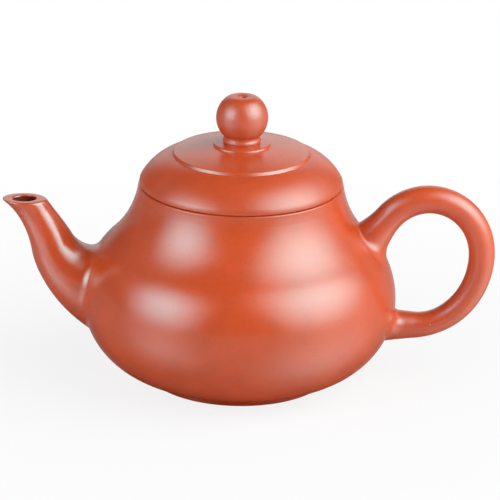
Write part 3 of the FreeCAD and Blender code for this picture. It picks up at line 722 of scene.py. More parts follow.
class PotFace:
    """The faces of the pot's wall, worked out from its sizes."""

    def __init__(self):
        pot = bpy.context.scene.pot_sizes
        self.belly = Vector((pot.belly_radius, pot.belly_height))
        self.mouth_height, self.wall = pot.mouth_height, pot.wall
        self.lower_arc = self.upright_arc(pot.belly_radius - pot.toe_radius,
                                          pot.belly_height - pot.foot_height)
        self.inner_lower_arc = self.upright_arc(pot.belly_radius - pot.wall - pot.toe_radius,
                                                pot.belly_height - pot.floor_height)
        sway = (pot.belly_radius - pot.neck_radius) / (pot.mouth_height - pot.belly_height)
        self.sin, self.cos = 2 * sway / (1 + sway ** 2), (1 - sway ** 2) / (1 + sway ** 2)
        self.shoulder_arc = (pot.bend_height - pot.belly_height) / self.sin
        self.inner_neck_arc = (pot.mouth_height - pot.bend_height) / self.sin + pot.wall
        self.shoulder = Vector((pot.belly_radius - self.shoulder_arc, pot.belly_height))
        self.inner_neck_centre = pot.neck_radius + self.inner_neck_arc - pot.wall
        # The outside turns tighter above the shoulder, and its neck is one long hollow arc
        self.turn_arc = pot.turn_arc
        first, last = self.way(pot.turn_start), self.way(pot.turn_end)
        self.turn = self.shoulder + first * (self.shoulder_arc - pot.turn_arc)
        self.turn_low = self.shoulder + first * self.shoulder_arc
        self.turn_high = self.turn + last * pot.turn_arc
        chord = Vector((pot.neck_radius, pot.mouth_height)) - self.turn_high
        half = pot.turn_end - math.atan2(-chord.x, chord.y)
        self.neck_arc = chord.length / (2 * math.sin(half))
        self.hollow = self.turn_high + last * self.neck_arc

    @staticmethod
    def way(tilt):
        """The way straight off the outline, where it leans in so far."""
        return Vector((math.cos(tilt), math.sin(tilt)))

    @staticmethod
    def upright_arc(reach, drop):
        """The radius of an arc that starts upright and ends so far in and down."""
        return (reach ** 2 + drop ** 2) / (2 * reach)

    def inner_bend(self):
        """Where the shoulder turns into the neck inside."""
        arc = self.shoulder_arc - self.wall
        return self.shoulder.x + arc * self.cos, self.belly.y + arc * self.sin

    def inner_neck(self, height):
        """The neck's inner radius at a height."""
        drop = self.mouth_height - height
        return self.inner_neck_centre - math.sqrt(self.inner_neck_arc ** 2 - drop ** 2)

    def neck(self, height):
        """The neck's outer radius at a height."""
        return self.hollow.x - math.sqrt(self.neck_arc ** 2 - (self.hollow.y - height) ** 2)

    def over(self, point):
        """How far a point stands off the wall's outside."""
        spot = Vector((math.hypot(point.x, point.y), point.z))
        if spot.y < self.belly.y:
            centre = Vector((self.belly.x - self.lower_arc, self.belly.y))
            return (spot - centre).length - self.lower_arc
        if spot.y < self.turn_low.y:
            return (spot - self.shoulder).length - self.shoulder_arc
        if spot.y < self.turn_high.y:
            return (spot - self.turn).length - self.turn_arc
        if spot.x > self.hollow.x:
            return self.neck_arc - abs(self.hollow.y - spot.y) + spot.x - self.hollow.x
        return self.neck_arc - (self.hollow - spot).length

    def away(self, point):
        """The way straight off the wall."""
        step = 0.002 * MM
        return Vector([self.over(point + step * axis) - self.over(point - step * axis)
                       for axis in (Vector((1, 0, 0)), Vector((0, 1, 0)),
                                    Vector((0, 0, 1)))]).normalized()

    def onto(self, point):
        """The place on the wall straight in from a point."""
        return point - self.away(point) * self.over(point)


# How far a root's fillet reaches, in millimetres: all round, and what over, under and beside add
Fillet = collections.namedtuple("Fillet", "least over under beside")
FILLET_ROWS = 8
# How much of a tube its fillet leaves free at least, and how far the fillet heads straight on
LEAST_TUBE, STRAIGHT_ON = 0.5, 2 / 3
# How far a fillet goes on along the wall and into it, where it can't be seen
TUCK_ALONG, TUCK_IN = 0.12 * MM, 0.4 * MM


def fillet_reach(fillet, over, under, beside):
    """The reach of a fillet on one side of its tube."""
    return (fillet.least + fillet.over * over + fillet.under * under
            + fillet.beside * beside) * MM


def marks_along(points):
    """How far along a line each of its points is."""
    marks = [0.0]
    for first, last in zip(points, points[1:]):
        marks.append(marks[-1] + (last - first).length)
    return marks


def run_out(path, out, face, fillet, rows):
    """A line along a tube from its first point to the wall, where it runs out in a fillet."""
    heights = [face.over(p) for p in path]
    hit = next((k for k, h in enumerate(heights) if h < 0), None)
    if not hit:
        raise RuntimeError("a tube doesn't reach the wall")
    part = heights[hit - 1] / (heights[hit - 1] - heights[hit])
    foot = path[hit - 1].lerp(path[hit], part)
    kept = path[:hit] + [foot]
    marks = marks_along(kept)

    def at(distance):
        k = 1
        while k < len(marks) - 1 and marks[k] < distance:
            k += 1
        span = marks[k] - marks[k - 1]
        return kept[k - 1].lerp(kept[k], (distance - marks[k - 1]) / span if span else 0.0)

    stop = max(marks[-1] - fillet, marks[-1] * LEAST_TUBE)
    line = [at(stop * k / (rows - 1)) for k in range(rows)]
    normal = face.away(foot)
    aside = (out - normal * out.dot(normal)).normalized()
    start, end = line[-1], face.onto(foot + aside * fillet)
    # The fillet leaves the tube along its run, and meets the wall flat
    off = face.away(end)
    flat = (aside - off * aside.dot(off)).normalized()
    leave = start.lerp(foot, STRAIGHT_ON)
    meet = end - flat * (end - foot).length * STRAIGHT_ON
    for k in range(1, FILLET_ROWS + 1):
        t = k / FILLET_ROWS
        line.append(start * (1 - t) ** 3 + leave * (3 * t * (1 - t) ** 2)
                    + meet * (3 * t * t * (1 - t)) + end * t ** 3)
    tucked = face.onto(end + flat * TUCK_ALONG)
    line.append(tucked - face.away(tucked) * TUCK_IN)
    return line


def rows_mesh(name, columns, ring, free, inside=None):
    """A mesh from columns of points round a tube. It closes on itself, or is capped."""
    count, height = len(columns), len(columns[0])
    points = [p for column in columns for p in column]
    faces = []
    for c in range(count):
        here, there = c * height, (c + 1) % count * height
        for r in range(height if ring else height - 1):
            after = (r + 1) % height
            faces.append((here + r, there + r, there + after, here + after))
    if not ring:
        faces.append([c * height for c in range(count)])
        faces.append([c * height + height - 1 for c in reversed(range(count))])
    mesh = bpy.data.meshes.new(name)
    mesh.from_pydata(points, [], faces)
    mesh.attributes.new("free", "FLOAT", "POINT").data.foreach_set("value", free * count)
    if inside:
        mesh.attributes.new("inside", "FLOAT", "POINT").data.foreach_set("value", inside * count)
    return mesh


# The spout

# By the spout's length: where its root begins to spread, over how much, how sharply, and how far
# from the mouth it goes on widening
SPREAD_FROM, SPREAD_OVER, SPREAD_CURVE, LONGEST = 0.66, 0.53, 1.8, 1.1
# How much of the flare shows over and under the spout, and how much less of it over than under
SPREAD_SIZE, SPREAD_LESS = 1.3, 0.15
# How much fuller the sides are, where along the spout that comes, and how much of it goes again
FULL, FULL_FROM, FULL_OVER = 0.13, 0.1, 0.55
SLIM, SLIM_FROM, SLIM_OVER = 0.75, 0.72, 0.28
# Where the level mouth is looked for, from the end of the centre line, and in how many steps
MOUTH_RANGE, HALVINGS = (-9.0 * MM, 14.0 * MM), 40
SPOUT_COLUMNS, SPOUT_ROWS, BORE_ROWS = 112, 64, 30
SPOUT_FILLET = Fillet(1.0, 0.5, 0.0, 1.6)
# How finely outside and bore are followed before their rows are laid, and how far past the wall
SPOUT_STEP, BORE_STEPS = 0.3 * MM, 400
SPOUT_PAST, BORE_PAST = 9.0 * MM, 6.0 * MM
# How far under the wall's outside the bore ends
BORE_SUNK = 0.6 * MM
# How far down the lip turns out, how its outer and inner edges are rounded, and how much longer
# than wide the inner rounding is
LIP_REACH, LIP_SOFT, BORE_SOFT, BORE_EASE = 2.6 * MM, 0.6 * MM, 0.4 * MM, 1.3
# A way out whose level part is shorter than this counts as upright
UPRIGHT = 0.05
# The rows next to the lip in which the clay comes to be uneven
TRUE_ROWS = 10
# Corners of the opening in the wall, and the places along the spout, in millimetres, that shape it
OPENING_CORNERS, OPENING_PLACES = 48, (-8, -5, -2, 1, 4, 7)


class SpoutLine:
    """The spout's centre line and widths, by the distance from its mouth."""

    def __init__(self):
        pot, self.spout = bpy.context.scene.pot_sizes, bpy.context.scene.spout_sizes
        spout = self.spout
        self.reach = pot.belly_radius + spout.bend_offset
        self.height = pot.belly_height + spout.bend_rise
        self.bend = spout.bend_angle
        inner = pot.belly_radius - pot.wall
        self.entry = math.asin(math.sin(self.bend) - (self.reach - inner) / spout.root_arc)
        rise = (spout.mouth_height - self.height) / spout.lip_arc
        self.mouth = math.acos(math.cos(self.bend) + rise)
        self.lip_length = spout.lip_arc * (self.bend - self.mouth)
        self.total = self.lip_length + spout.root_arc * (self.bend - self.entry)
        self.entry_height = self.height + spout.root_arc * (
            math.cos(self.bend) - math.cos(self.entry))

    def at(self, distance):
        """The centre line's place, and the way up from it, square to its run."""
        if distance < self.lip_length:
            lean, arc, sign = self.mouth + distance / self.spout.lip_arc, self.spout.lip_arc, 1
        else:
            lean = self.bend - (distance - self.lip_length) / self.spout.root_arc
            arc, sign = self.spout.root_arc, -1
        place = Vector((-self.reach + sign * arc * (math.sin(lean) - math.sin(self.bend)), 0.0,
                        self.height + sign * arc * (math.cos(lean) - math.cos(self.bend))))
        return place, Vector((math.sin(lean), 0.0, math.cos(lean)))

    def width(self, distance, tip, root, flare):
        """Half the spout's width, which spreads towards the wall."""
        part = min(max(distance, 0.0) / self.total, LONGEST)
        spread = max(part - SPREAD_FROM, 0.0) / SPREAD_OVER
        return (tip + (root - tip) * part ** self.spout.growth
                + flare * spread ** SPREAD_CURVE)

    def side(self, distance, turn, tip, root, flare):
        """A point on a face of the spout, and the way out of it there."""
        place, up = self.at(distance)
        over, aside = math.cos(turn), math.sin(turn)
        out = up * over + Vector((0.0, aside, 0.0))
        spread = flare * (SPREAD_SIZE - SPREAD_LESS * over) * over ** 2
        wide = self.width(distance, tip, root, spread)
        if flare:
            part = distance / self.total
            full = eased((part - FULL_FROM) / FULL_OVER) * (
                1 - SLIM * eased((part - SLIM_FROM) / SLIM_OVER))
            wide *= 1 + FULL * full * aside ** 2
        return place + out * wide, out

    def level(self, turn, tip, root):
        """Where a line along a face of the spout comes up to the mouth."""
        near, far = MOUTH_RANGE
        for _ in range(HALVINGS):
            middle = (near + far) / 2
            if self.side(middle, turn, tip, root, 0.0)[0].z > self.spout.mouth_height:
                near = middle
            else:
                far = middle
        return far


def curved(start, corner, end, count):
    """The points between a start and an end, on a curve that heads for a corner."""
    return [start * (1 - t) ** 2 + corner * 2 * t * (1 - t) + end * t * t
            for t in (k / count for k in range(1, count))]


def spout_column(line, face, turn):
    """One line round the spout: from the lip down the outside, through the wall and up the bore."""
    spout = line.spout
    outer = (turn, spout.tip_radius, spout.root_radius)
    inner = (turn, spout.bore_tip, spout.bore_root)
    top, bore_top = line.level(*outer), line.level(*inner)

    def in_bore(distance):
        return line.side(distance, *inner, 0.0)[0]

    end = line.total + SPOUT_PAST
    count = math.ceil((end - top) / SPOUT_STEP)
    path = []
    for k in range(count + 1):
        distance = top + (end - top) * k / count
        point, out = line.side(distance, *outer, spout.flare)
        level_out = Vector((out.x, out.y, 0.0))
        level_out = level_out.normalized() if level_out.length > UPRIGHT else Vector((0, 0, 0))
        turned = math.exp(-((distance - top) / LIP_REACH) ** 2)
        path.append(point + level_out * spout.lip_flare * turned)
    edge, edge_in = path[0], in_bore(bore_top)
    below = next(k for k, p in enumerate(path) if (p - edge).length > LIP_SOFT)
    fillet = fillet_reach(SPOUT_FILLET, max(math.cos(turn), 0.0), 0.0, math.sin(turn) ** 2)
    outside = run_out(path[below:], line.side(line.total, *outer, 0.0)[1], face, fillet,
                      SPOUT_ROWS)
    # The bore, from the wall up
    past = line.total + BORE_PAST
    tries = (past + (bore_top - past) * k / BORE_STEPS for k in range(BORE_STEPS))
    bore_end = next((d for d in tries if face.over(in_bore(d)) > -BORE_SUNK), past)
    stop = bore_top + BORE_SOFT * BORE_EASE
    bore = [in_bore(bore_end + (stop - bore_end) * k / (BORE_ROWS - 1)) for k in range(BORE_ROWS)]
    # The lip: eased out of the bore, level, and rounded outside
    across = (edge_in - edge).normalized()
    flat_in, flat_out = edge_in - across * BORE_SOFT, edge + across * LIP_SOFT
    lip = (curved(bore[-1], edge_in, flat_in, 4) + [flat_in, flat_out]
           + curved(flat_out, edge, path[below], 5))
    free = [min(k / TRUE_ROWS, 1.0) for k in range(len(outside))] + [0.0] * len(bore + lip)
    inside = [0.0] * len(outside) + [1.0] * len(bore) + [0.0] * len(lip)
    return outside + bore + lip, free, inside


class TEAPOT_OT_pot_wall(bpy.types.Operator):
    """The paddled wall of the pot, with the opening for the spout"""
    bl_idname = "teapot.pot_wall"
    bl_label = "Pot wall"

    def execute(self, context):
        pot, face, line = context.scene.pot_sizes, PotFace(), SpoutLine()
        inner = pot.belly_radius - pot.wall
        piece = turned_form("pot_wall", [
            Corner(pot.base_radius, pot.foot_height, touches=True),
            Corner(pot.toe_radius, pot.foot_height, face.lower_arc),
            Corner(pot.belly_radius, pot.belly_height, face.shoulder_arc),
            Corner(*face.turn_low, face.turn_arc),
            Corner(*face.turn_high, face.neck_arc, True),
            Corner(face.neck(pot.ring_foot), pot.ring_foot, touches=True),
            Corner(face.inner_neck(pot.ring_foot), pot.ring_foot, face.inner_neck_arc,
                   inside=True),
            Corner(*face.inner_bend(), face.shoulder_arc - pot.wall, True, True),
            Corner(inner, pot.belly_height, face.inner_lower_arc, True, True),
            Corner(pot.toe_radius, pot.floor_height, inside=True, touches=True),
            Corner(pot.base_radius, pot.floor_height, inside=True, touches=True),
        ], "clay_turned")
        spout = line.spout
        columns = [[line.side(line.total + d * MM, 2 * math.pi * c / OPENING_CORNERS,
                              spout.bore_tip, spout.bore_root, 0.0)[0] for d in OPENING_PLACES]
                   for c in range(OPENING_CORNERS)]
        cutter = placed("spout_opening", rows_mesh("spout_opening", columns, False,
                                                   [0.0] * len(OPENING_PLACES)))
        outward(cutter.data)
        cut = piece.modifiers.new("Opening", "BOOLEAN")
        cut.operation, cut.solver, cut.object = "DIFFERENCE", "EXACT", cutter
        cleared(made_plain(piece))
        bpy.data.objects.remove(cutter)
        finished(piece, "pot", "body_wall")
        return {"FINISHED"}


class TEAPOT_OT_pot_rings(bpy.types.Operator):
    """The floor slab, the foot and the mouth ring"""
    bl_idname = "teapot.pot_rings"
    bl_label = "Floor, foot and mouth ring"

    def execute(self, context):
        pot, face = context.scene.pot_sizes, PotFace()
        # The roundings of foot and rim, and the bevel under the mouth ring
        soft, rim, bevel = 0.6 * MM, 0.4 * MM, 1.4 * MM
        floor = turned_form("pot_floor", [
            Corner(0.0, pot.foot_height, touches=True),
            Corner(pot.base_radius, pot.foot_height, touches=True),
            Corner(pot.base_radius, pot.floor_height, touches=True),
            Corner(0.0, pot.floor_height),
        ], "clay_inside", is_open=True, even=0.0)
        finished(floor, "pot", "base_disc")
        inner_foot = pot.foot_radius - pot.foot_band
        foot = turned_form("pot_foot", [
            Corner(inner_foot + soft, 0.0),
            Corner(pot.foot_radius - soft, 0.0, soft),
            Corner(pot.foot_radius, soft),
            Corner(pot.foot_radius, pot.foot_height, touches=True),
            Corner(inner_foot, pot.foot_height),
            Corner(inner_foot, soft, soft),
        ], "clay_foot", even=0.0)
        finished(foot, "pot", "foot_ring")
        top, edge = pot.mouth_height, face.neck(pot.mouth_height - rim)
        ring = turned_form("mouth_ring_dressed", [
            Corner(face.inner_neck(pot.ring_foot), pot.ring_foot, touches=True),
            Corner(face.neck(pot.ring_foot), pot.ring_foot, face.neck_arc, True),
            Corner(edge, top - rim, rim),
            Corner(edge - rim, top),
            Corner(pot.mouth_radius + rim, top, rim, inside=True),
            Corner(pot.mouth_radius, top - rim, inside=True),
            Corner(pot.mouth_radius, pot.ring_foot + bevel, inside=True),
        ], "clay_turned", even=0.0)
        finished(ring, "pot", "mouth_ring")
        return {"FINISHED"}


class TEAPOT_OT_spout(bpy.types.Operator):
    """The hollow spout, cut level at its mouth and luted on to the wall"""
    bl_idname = "teapot.spout"
    bl_label = "Spout"

    def execute(self, context):
        line, face = SpoutLine(), PotFace()
        columns = [spout_column(line, face, 2 * math.pi * c / SPOUT_COLUMNS)
                   for c in range(SPOUT_COLUMNS)]
        points = [column for column, _, _ in columns]
        mesh = rows_mesh("spout_dressed", points, True, *columns[0][1:])
        piece = worked_form("spout_dressed", mesh, "clay_worked", "clay_stained")
        finished(piece, "pot", "spout")
        return {"FINISHED"}


# The strainer's rings of holes: how many, and how many degrees from the middle
HOLE_RINGS = ((1, 0.0), (6, 31.0), (12, 58.0))
# Corners of a hole. It is turned a little, so that none of them falls on an edge of the dome.
DRILL_CORNERS, DRILL_TWIST = 20, 0.1
# How deep the holes are cut, by the thickness of the dome
DRILL_DEPTH = 4


def pierced_group(name):
    """Pierces a dome in rings of round holes, and sets it in its place."""
    tree, w, given, result = new_group(
        name, "GeometryNodeTree",
        [("Geometry", "Geometry", None), ("Dome Radius", "Float", 0.01),
         ("Hole Radius", "Float", 0.001), ("Hole Depth", "Float", 0.006),
         ("Place", "Vector", None), ("Lean", "Float", 0.0),
         ("Clay", "Material", None)],
        [("Geometry", "Geometry")])
    drill = w.node("GeometryNodeMeshCylinder", {
        "Vertices": DRILL_CORNERS, "Radius": given["Hole Radius"],
        "Depth": given["Hole Depth"]})
    drill = w.node("GeometryNodeTransform", {"Geometry": drill.outputs["Mesh"],
                                             "Rotation": (0.0, 0.0, DRILL_TWIST)})
    drills = w.node("GeometryNodeJoinGeometry")
    for count, lean in HOLE_RINGS:
        index = w.node("GeometryNodeInputIndex").outputs[0]
        around = w.math("MULTIPLY", index, 2 * math.pi / count)
        reach = math.sin(math.radians(lean))
        way = w.node("ShaderNodeCombineXYZ", {
            "X": w.math("MULTIPLY", w.math("COSINE", around), reach),
            "Y": w.math("MULTIPLY", w.math("SINE", around), reach),
            "Z": math.cos(math.radians(lean))}).outputs["Vector"]
        points = w.node("GeometryNodePoints", {
            "Count": count, "Position": w.scaled(way, given["Dome Radius"])})
        facing = w.node("FunctionNodeAlignRotationToVector", {
            "Vector": w.node("GeometryNodeInputPosition").outputs[0]}, axis="Z")
        holes = w.node("GeometryNodeInstanceOnPoints", {
            "Points": points.outputs[0], "Instance": drill.outputs["Geometry"],
            "Rotation": facing.outputs[0]})
        w.feed(drills.inputs[0], holes.outputs["Instances"])
    real = w.node("GeometryNodeRealizeInstances", {"Geometry": drills.outputs[0]})
    cut = w.node("GeometryNodeMeshBoolean", {
        "Mesh 1": given["Geometry"], "Mesh 2": real.outputs["Geometry"]},
        operation="DIFFERENCE", solver="EXACT")
    tilt = w.node("ShaderNodeCombineXYZ", {
        "Y": w.math("ADD", given["Lean"], math.pi / 2)}).outputs["Vector"]
    seat = w.node("GeometryNodeTransform", {
        "Geometry": cut.outputs["Mesh"], "Translation": given["Place"], "Rotation": tilt})
    whole = w.node("GeometryNodeRealizeInstances", {"Geometry": seat.outputs["Geometry"]})
    coat = w.node("GeometryNodeSetMaterial", {"Geometry": whole.outputs["Geometry"],
                                              "Material": given["Clay"]})
    w.feed(result["Geometry"], coat.outputs["Geometry"])
    return tree


class TEAPOT_OT_strainer(bpy.types.Operator):
    """The pierced dome inside the spout's root"""
    bl_idname = "teapot.strainer"
    bl_label = "Strainer"

    def execute(self, context):
        spout, face, line = context.scene.spout_sizes, PotFace(), SpoutLine()
        outer, inner = spout.strainer_radius, spout.strainer_radius - spout.strainer_wall
        piece = turned_form("strainer_dome", [
            Corner(0.0, inner, inner, True),
            Corner(inner, 0.0),
            Corner(outer, 0.0, outer),
            Corner(0.0, outer),
        ], "clay_inside", is_open=True, even=0.0)
        arc = face.shoulder_arc - face.wall
        rise = line.entry_height - face.belly.y
        reach = face.shoulder.x + math.sqrt(arc ** 2 - rise ** 2)
        with_nodes(piece, kept_group("Pierced dome", pierced_group), {
            "Dome Radius": outer, "Hole Radius": spout.hole_radius,
            "Hole Depth": spout.strainer_wall * DRILL_DEPTH,
            "Place": (-reach, 0.0, line.entry_height), "Lean": math.asin(rise / arc),
            "Clay": clay("clay_inside")})
        cleared(made_plain(piece))
        finished(piece, "pot", "spout_strainer")
        return {"FINISHED"}


# The handle

# Steps along each bow of the handle and along each of its roots
BOW_STEPS, ROOT_STEPS = 90, 40
# How sharply a root spreads, and over how many times its own length the lower one does
ROOT_CURVE, HEEL_REACH = 1.7, 1.6
HANDLE_COLUMNS, TOP_ROWS, HEEL_ROWS = 72, 84, 70
TOP_FILLET, HEEL_FILLET = Fillet(0.5, 0.5, 3.0, 0.0), Fillet(0.2, 0.5, 1.0, 3.4)
# Where the underside of the handle begins, by the turn from outside the loop, and over how much
UNDER_FROM, UNDER_OVER = 1.0, 1.2


class HandleLine:
    """The handle's centre line, from inside the shoulder over the crown into the belly."""

    def __init__(self):
        pot, handle = bpy.context.scene.pot_sizes, bpy.context.scene.handle_sizes
        reach = pot.belly_radius + handle.offset
        middle = pot.mouth_height - handle.mid_drop
        crown = Vector((pot.belly_radius + handle.crown_offset, 0.0, middle))
        heel = Vector((pot.belly_radius + handle.heel_offset, 0.0, middle))
        tall = pot.mouth_height - handle.crown_drop - middle
        deep = middle - (pot.belly_height - handle.heel_drop)
        self.places, self.runs = [], []

        def add(place, run):
            self.places.append(place)
            self.runs.append(run.normalized())

        def on(centre, height, turn):
            across = reach - centre.x
            return (centre + Vector((across * math.cos(turn), 0.0, height * math.sin(turn))),
                    Vector((across * math.sin(turn), 0.0, -height * math.cos(turn))))

        start, run = on(crown, tall, handle.leave)
        for k in range(ROOT_STEPS):
            add(start - run.normalized() * handle.top_root * (1 - k / ROOT_STEPS), run)
        for k in range(BOW_STEPS):
            add(*on(crown, tall, handle.leave * (1 - k / BOW_STEPS)))
        self.middle = len(self.places)
        for k in range(BOW_STEPS):
            add(*on(heel, deep, -math.pi / 2 * k / BOW_STEPS))
        end, run = on(heel, deep, -math.pi / 2)
        for k in range(ROOT_STEPS + 1):
            add(end + run.normalized() * handle.heel_root * k / ROOT_STEPS, run)
        marks = marks_along(self.places)
        top, bottom = handle.top_root, marks[-1] - handle.heel_root
        self.widths = []
        for mark in marks:
            part = min(max((mark - top) / (bottom - top), 0.0), 1.0)
            wide = handle.top_radius + (handle.heel_radius - handle.top_radius) * part
            wide += handle.top_flare * max(1 - mark / top, 0.0) ** ROOT_CURVE
            left = (marks[-1] - mark) / (HEEL_REACH * handle.heel_root)
            wide += handle.heel_flare * max(1 - left, 0.0) ** ROOT_CURVE
            self.widths.append(wide)

    def side(self, k, turn):
        """A point on the handle's face, and the way out of it; turn 0 is outside the loop."""
        run = self.runs[k]
        out = Vector((-run.z, 0.0, run.x)) * math.cos(turn) + Vector((0.0, math.sin(turn), 0.0))
        return self.places[k] + out * self.widths[k], out


class TEAPOT_OT_handle(bpy.types.Operator):
    """The solid ear handle, luted on to the wall at both roots"""
    bl_idname = "teapot.handle"
    bl_label = "Handle"

    def execute(self, context):
        line, face, columns = HandleLine(), PotFace(), []
        last = len(line.places)
        for c in range(HANDLE_COLUMNS):
            turn = 2 * math.pi * c / HANDLE_COLUMNS
            sides = (max(math.cos(turn), 0.0) ** 2,
                     eased((math.acos(math.cos(turn)) - UNDER_FROM) / UNDER_OVER),
                     math.sin(turn) ** 2)
            halves = []
            for steps, fillet, rows in ((range(line.middle, -1, -1), TOP_FILLET, TOP_ROWS),
                                        (range(line.middle, last), HEEL_FILLET, HEEL_ROWS)):
                points, ways = zip(*(line.side(k, turn) for k in steps))
                halves.append(run_out(list(points), ways[-1], face,
                                      fillet_reach(fillet, *sides), rows))
            upper, lower = halves
            columns.append(upper[::-1] + lower[1:])
        mesh = rows_mesh("handle_dressed", columns, False, [1.0] * len(columns[0]))
        finished(worked_form("handle_dressed", mesh, "clay_handle"), "pot", "handle")
        return {"FINISHED"}


class TEAPOT_OT_lid(bpy.types.Operator):
    """The domed lid with its raised disc and its skirt"""
    bl_idname = "teapot.lid"
    bl_label = "Lid"

    def execute(self, context):
        lid, seat = context.scene.lid_sizes, context.scene.pot_sizes.mouth_height
        bore = lid.flange_radius - lid.flange_wall
        # The roundings of the edges and of the skirt's foot, and the vent's radius in the hollow
        soft, round_foot, vent_foot = 0.5 * MM, 0.8 * MM, 2.2 * MM
        # The disc's edge: how far it leans in, its rounding, and how far that goes down and in
        disc_lean, disc_soft, turn_down, turn_in = 0.33 * MM, 0.35 * MM, 0.21 * MM, 0.28 * MM
        foot = seat + lid.seat_gap
        flange = turned_form("lid_skirt_dressed", [
            Corner(bore + soft, lid.flange_foot),
            Corner(lid.flange_radius - round_foot, lid.flange_foot, round_foot),
            Corner(lid.flange_radius, lid.flange_foot + round_foot),
            Corner(lid.flange_radius, seat),
            Corner(bore, seat),
            Corner(bore, lid.flange_foot + soft, soft),
        ], "clay_inside", even=0.0)
        finished(flange, "lid_skirt", "lid_flange")
        hollow = lid.dome_top - lid.lid_wall
        rise = hollow - foot
        dome = turned_form("lid_dome_dressed", [
            Corner(bore, foot, inside=True, touches=True),
            Corner(lid.lid_radius - soft, foot, soft, touches=True),
            Corner(lid.lid_radius, foot + soft),
            Corner(lid.lid_radius, seat + lid.lid_edge, lid.dome_arc),
            Corner(lid.disc_radius, lid.dome_top, touches=True),
            Corner(lid.vent_radius, lid.dome_top, inside=True, touches=True),
            Corner(vent_foot, hollow, inside=True),
            Corner(bore - rise, hollow, rise, True, True),
        ], "clay_lid", even=0.7)
        finished(dome, "lid", "lid_dome")
        disc_shoulder = lid.dome_top + lid.disc_edge
        disc = turned_form("lid_disc_dressed", [
            Corner(lid.vent_radius, lid.dome_top, touches=True),
            Corner(lid.disc_radius, lid.dome_top),
            Corner(lid.disc_radius - disc_lean, disc_shoulder - turn_down, disc_soft),
            Corner(lid.disc_radius - disc_lean - turn_in, disc_shoulder, lid.disc_arc),
            Corner(lid.collar_radius, lid.disc_top, touches=True),
            Corner(lid.vent_radius, lid.disc_top, touches=True),
        ], "clay_disc", even=0.5)
        finished(disc, "lid", "lid_disc")
        return {"FINISHED"}


class TEAPOT_OT_knob(bpy.types.Operator):
    """The collar and the ball knob with its bead and vent"""
    bl_idname = "teapot.knob"
    bl_label = "Knob"

    def execute(self, context):
        lid = context.scene.lid_sizes
        # The roundings of collar, bead and neck, the fall of the collar and the dimple's depth
        soft, bead, neck, fall, dimple = 0.6 * MM, 0.7 * MM, 1.0 * MM, 0.22 * MM, 0.5 * MM
        collar = turned_form("knob_collar_dressed", [
            Corner(lid.vent_radius, lid.disc_top, touches=True),
            Corner(lid.collar_radius, lid.disc_top),
            Corner(lid.collar_radius, lid.collar_top - fall - soft, soft),
            Corner(lid.collar_radius - soft, lid.collar_top - fall),
            Corner(lid.knob_neck, lid.collar_top),
            Corner(lid.vent_radius, lid.collar_top, touches=True),
        ], "clay_disc", even=0.0)
        finished(collar, "lid", "knob_collar")
        foot = lid.collar_top
        bead_low = foot + lid.bead_foot
        bead_high = bead_low + lid.bead_height
        ball_foot = bead_high + lid.neck_rise
        centre = ball_foot + math.sqrt(lid.ball_radius ** 2 - lid.ball_foot ** 2)
        crown_rise = math.sqrt(lid.ball_radius ** 2 - lid.crown_radius ** 2)
        run, climb = lid.crown_radius - lid.dimple_radius, lid.crown_climb
        crown_arc = lid.ball_radius * (run ** 2 + climb ** 2) / (
            2 * (run * lid.crown_radius - climb * crown_rise))
        top = centre + crown_rise + climb
        knob = turned_form("knob_dressed", [
            Corner(lid.vent_radius, foot, touches=True),
            Corner(lid.knob_neck, foot),
            Corner(lid.knob_neck, bead_low, bead),
            Corner(lid.knob_neck, bead_high, neck, True),
            Corner(lid.ball_foot, ball_foot, lid.ball_radius),
            Corner(lid.crown_radius, centre + crown_rise, crown_arc),
            Corner(lid.dimple_radius, top),
            Corner(lid.vent_radius, top - dimple, inside=True),
        ], "clay_knob", "clay_stained", even=0.4)
        finished(knob, "lid", "knob")
        return {"FINISHED"}


# The stage

# How white the floor is of itself, to the camera and in polished clay, by the distance from the
# pot: where that begins to change and ends, and from what to what
CAMERA_WHITE, MIRROR_WHITE = (0.03, 0.20, 0.84, 1.0), (0.5, 2.0, 0.0, 0.5)
# The floor's tone in polished clay close to the pot, darkened there as painted shadow, and
# further off, and its tone in light
PAINTED_SHADOW_REACH, PAINTED_SHADOW_TONE, FAR_TONE, LIT_TONE = (0.03, 0.08), 0.1, 0.46, 0.9
# How much of the floor mirrors in polished clay, and how softly
FLOOR_POLISH, POLISH_ROUGHNESS = 0.33, 0.25
# The floor's half width, and how far it lies under the foot
FLOOR_HALF, FLOOR_DROP = 6.0, 0.02 * MM
# Where the lit wall behind the pot fades out, by the cosine from its middle, and what is left
BACK_EDGE, BACK_LEAST = (0.83, 0.97), 0.03
# The camera: its sensor's width in millimetres, the shift of its picture, and how far it sees
SENSOR, SHIFT, CLIP = 36.0, (0.0198, -0.0172), (0.05, 30.0)


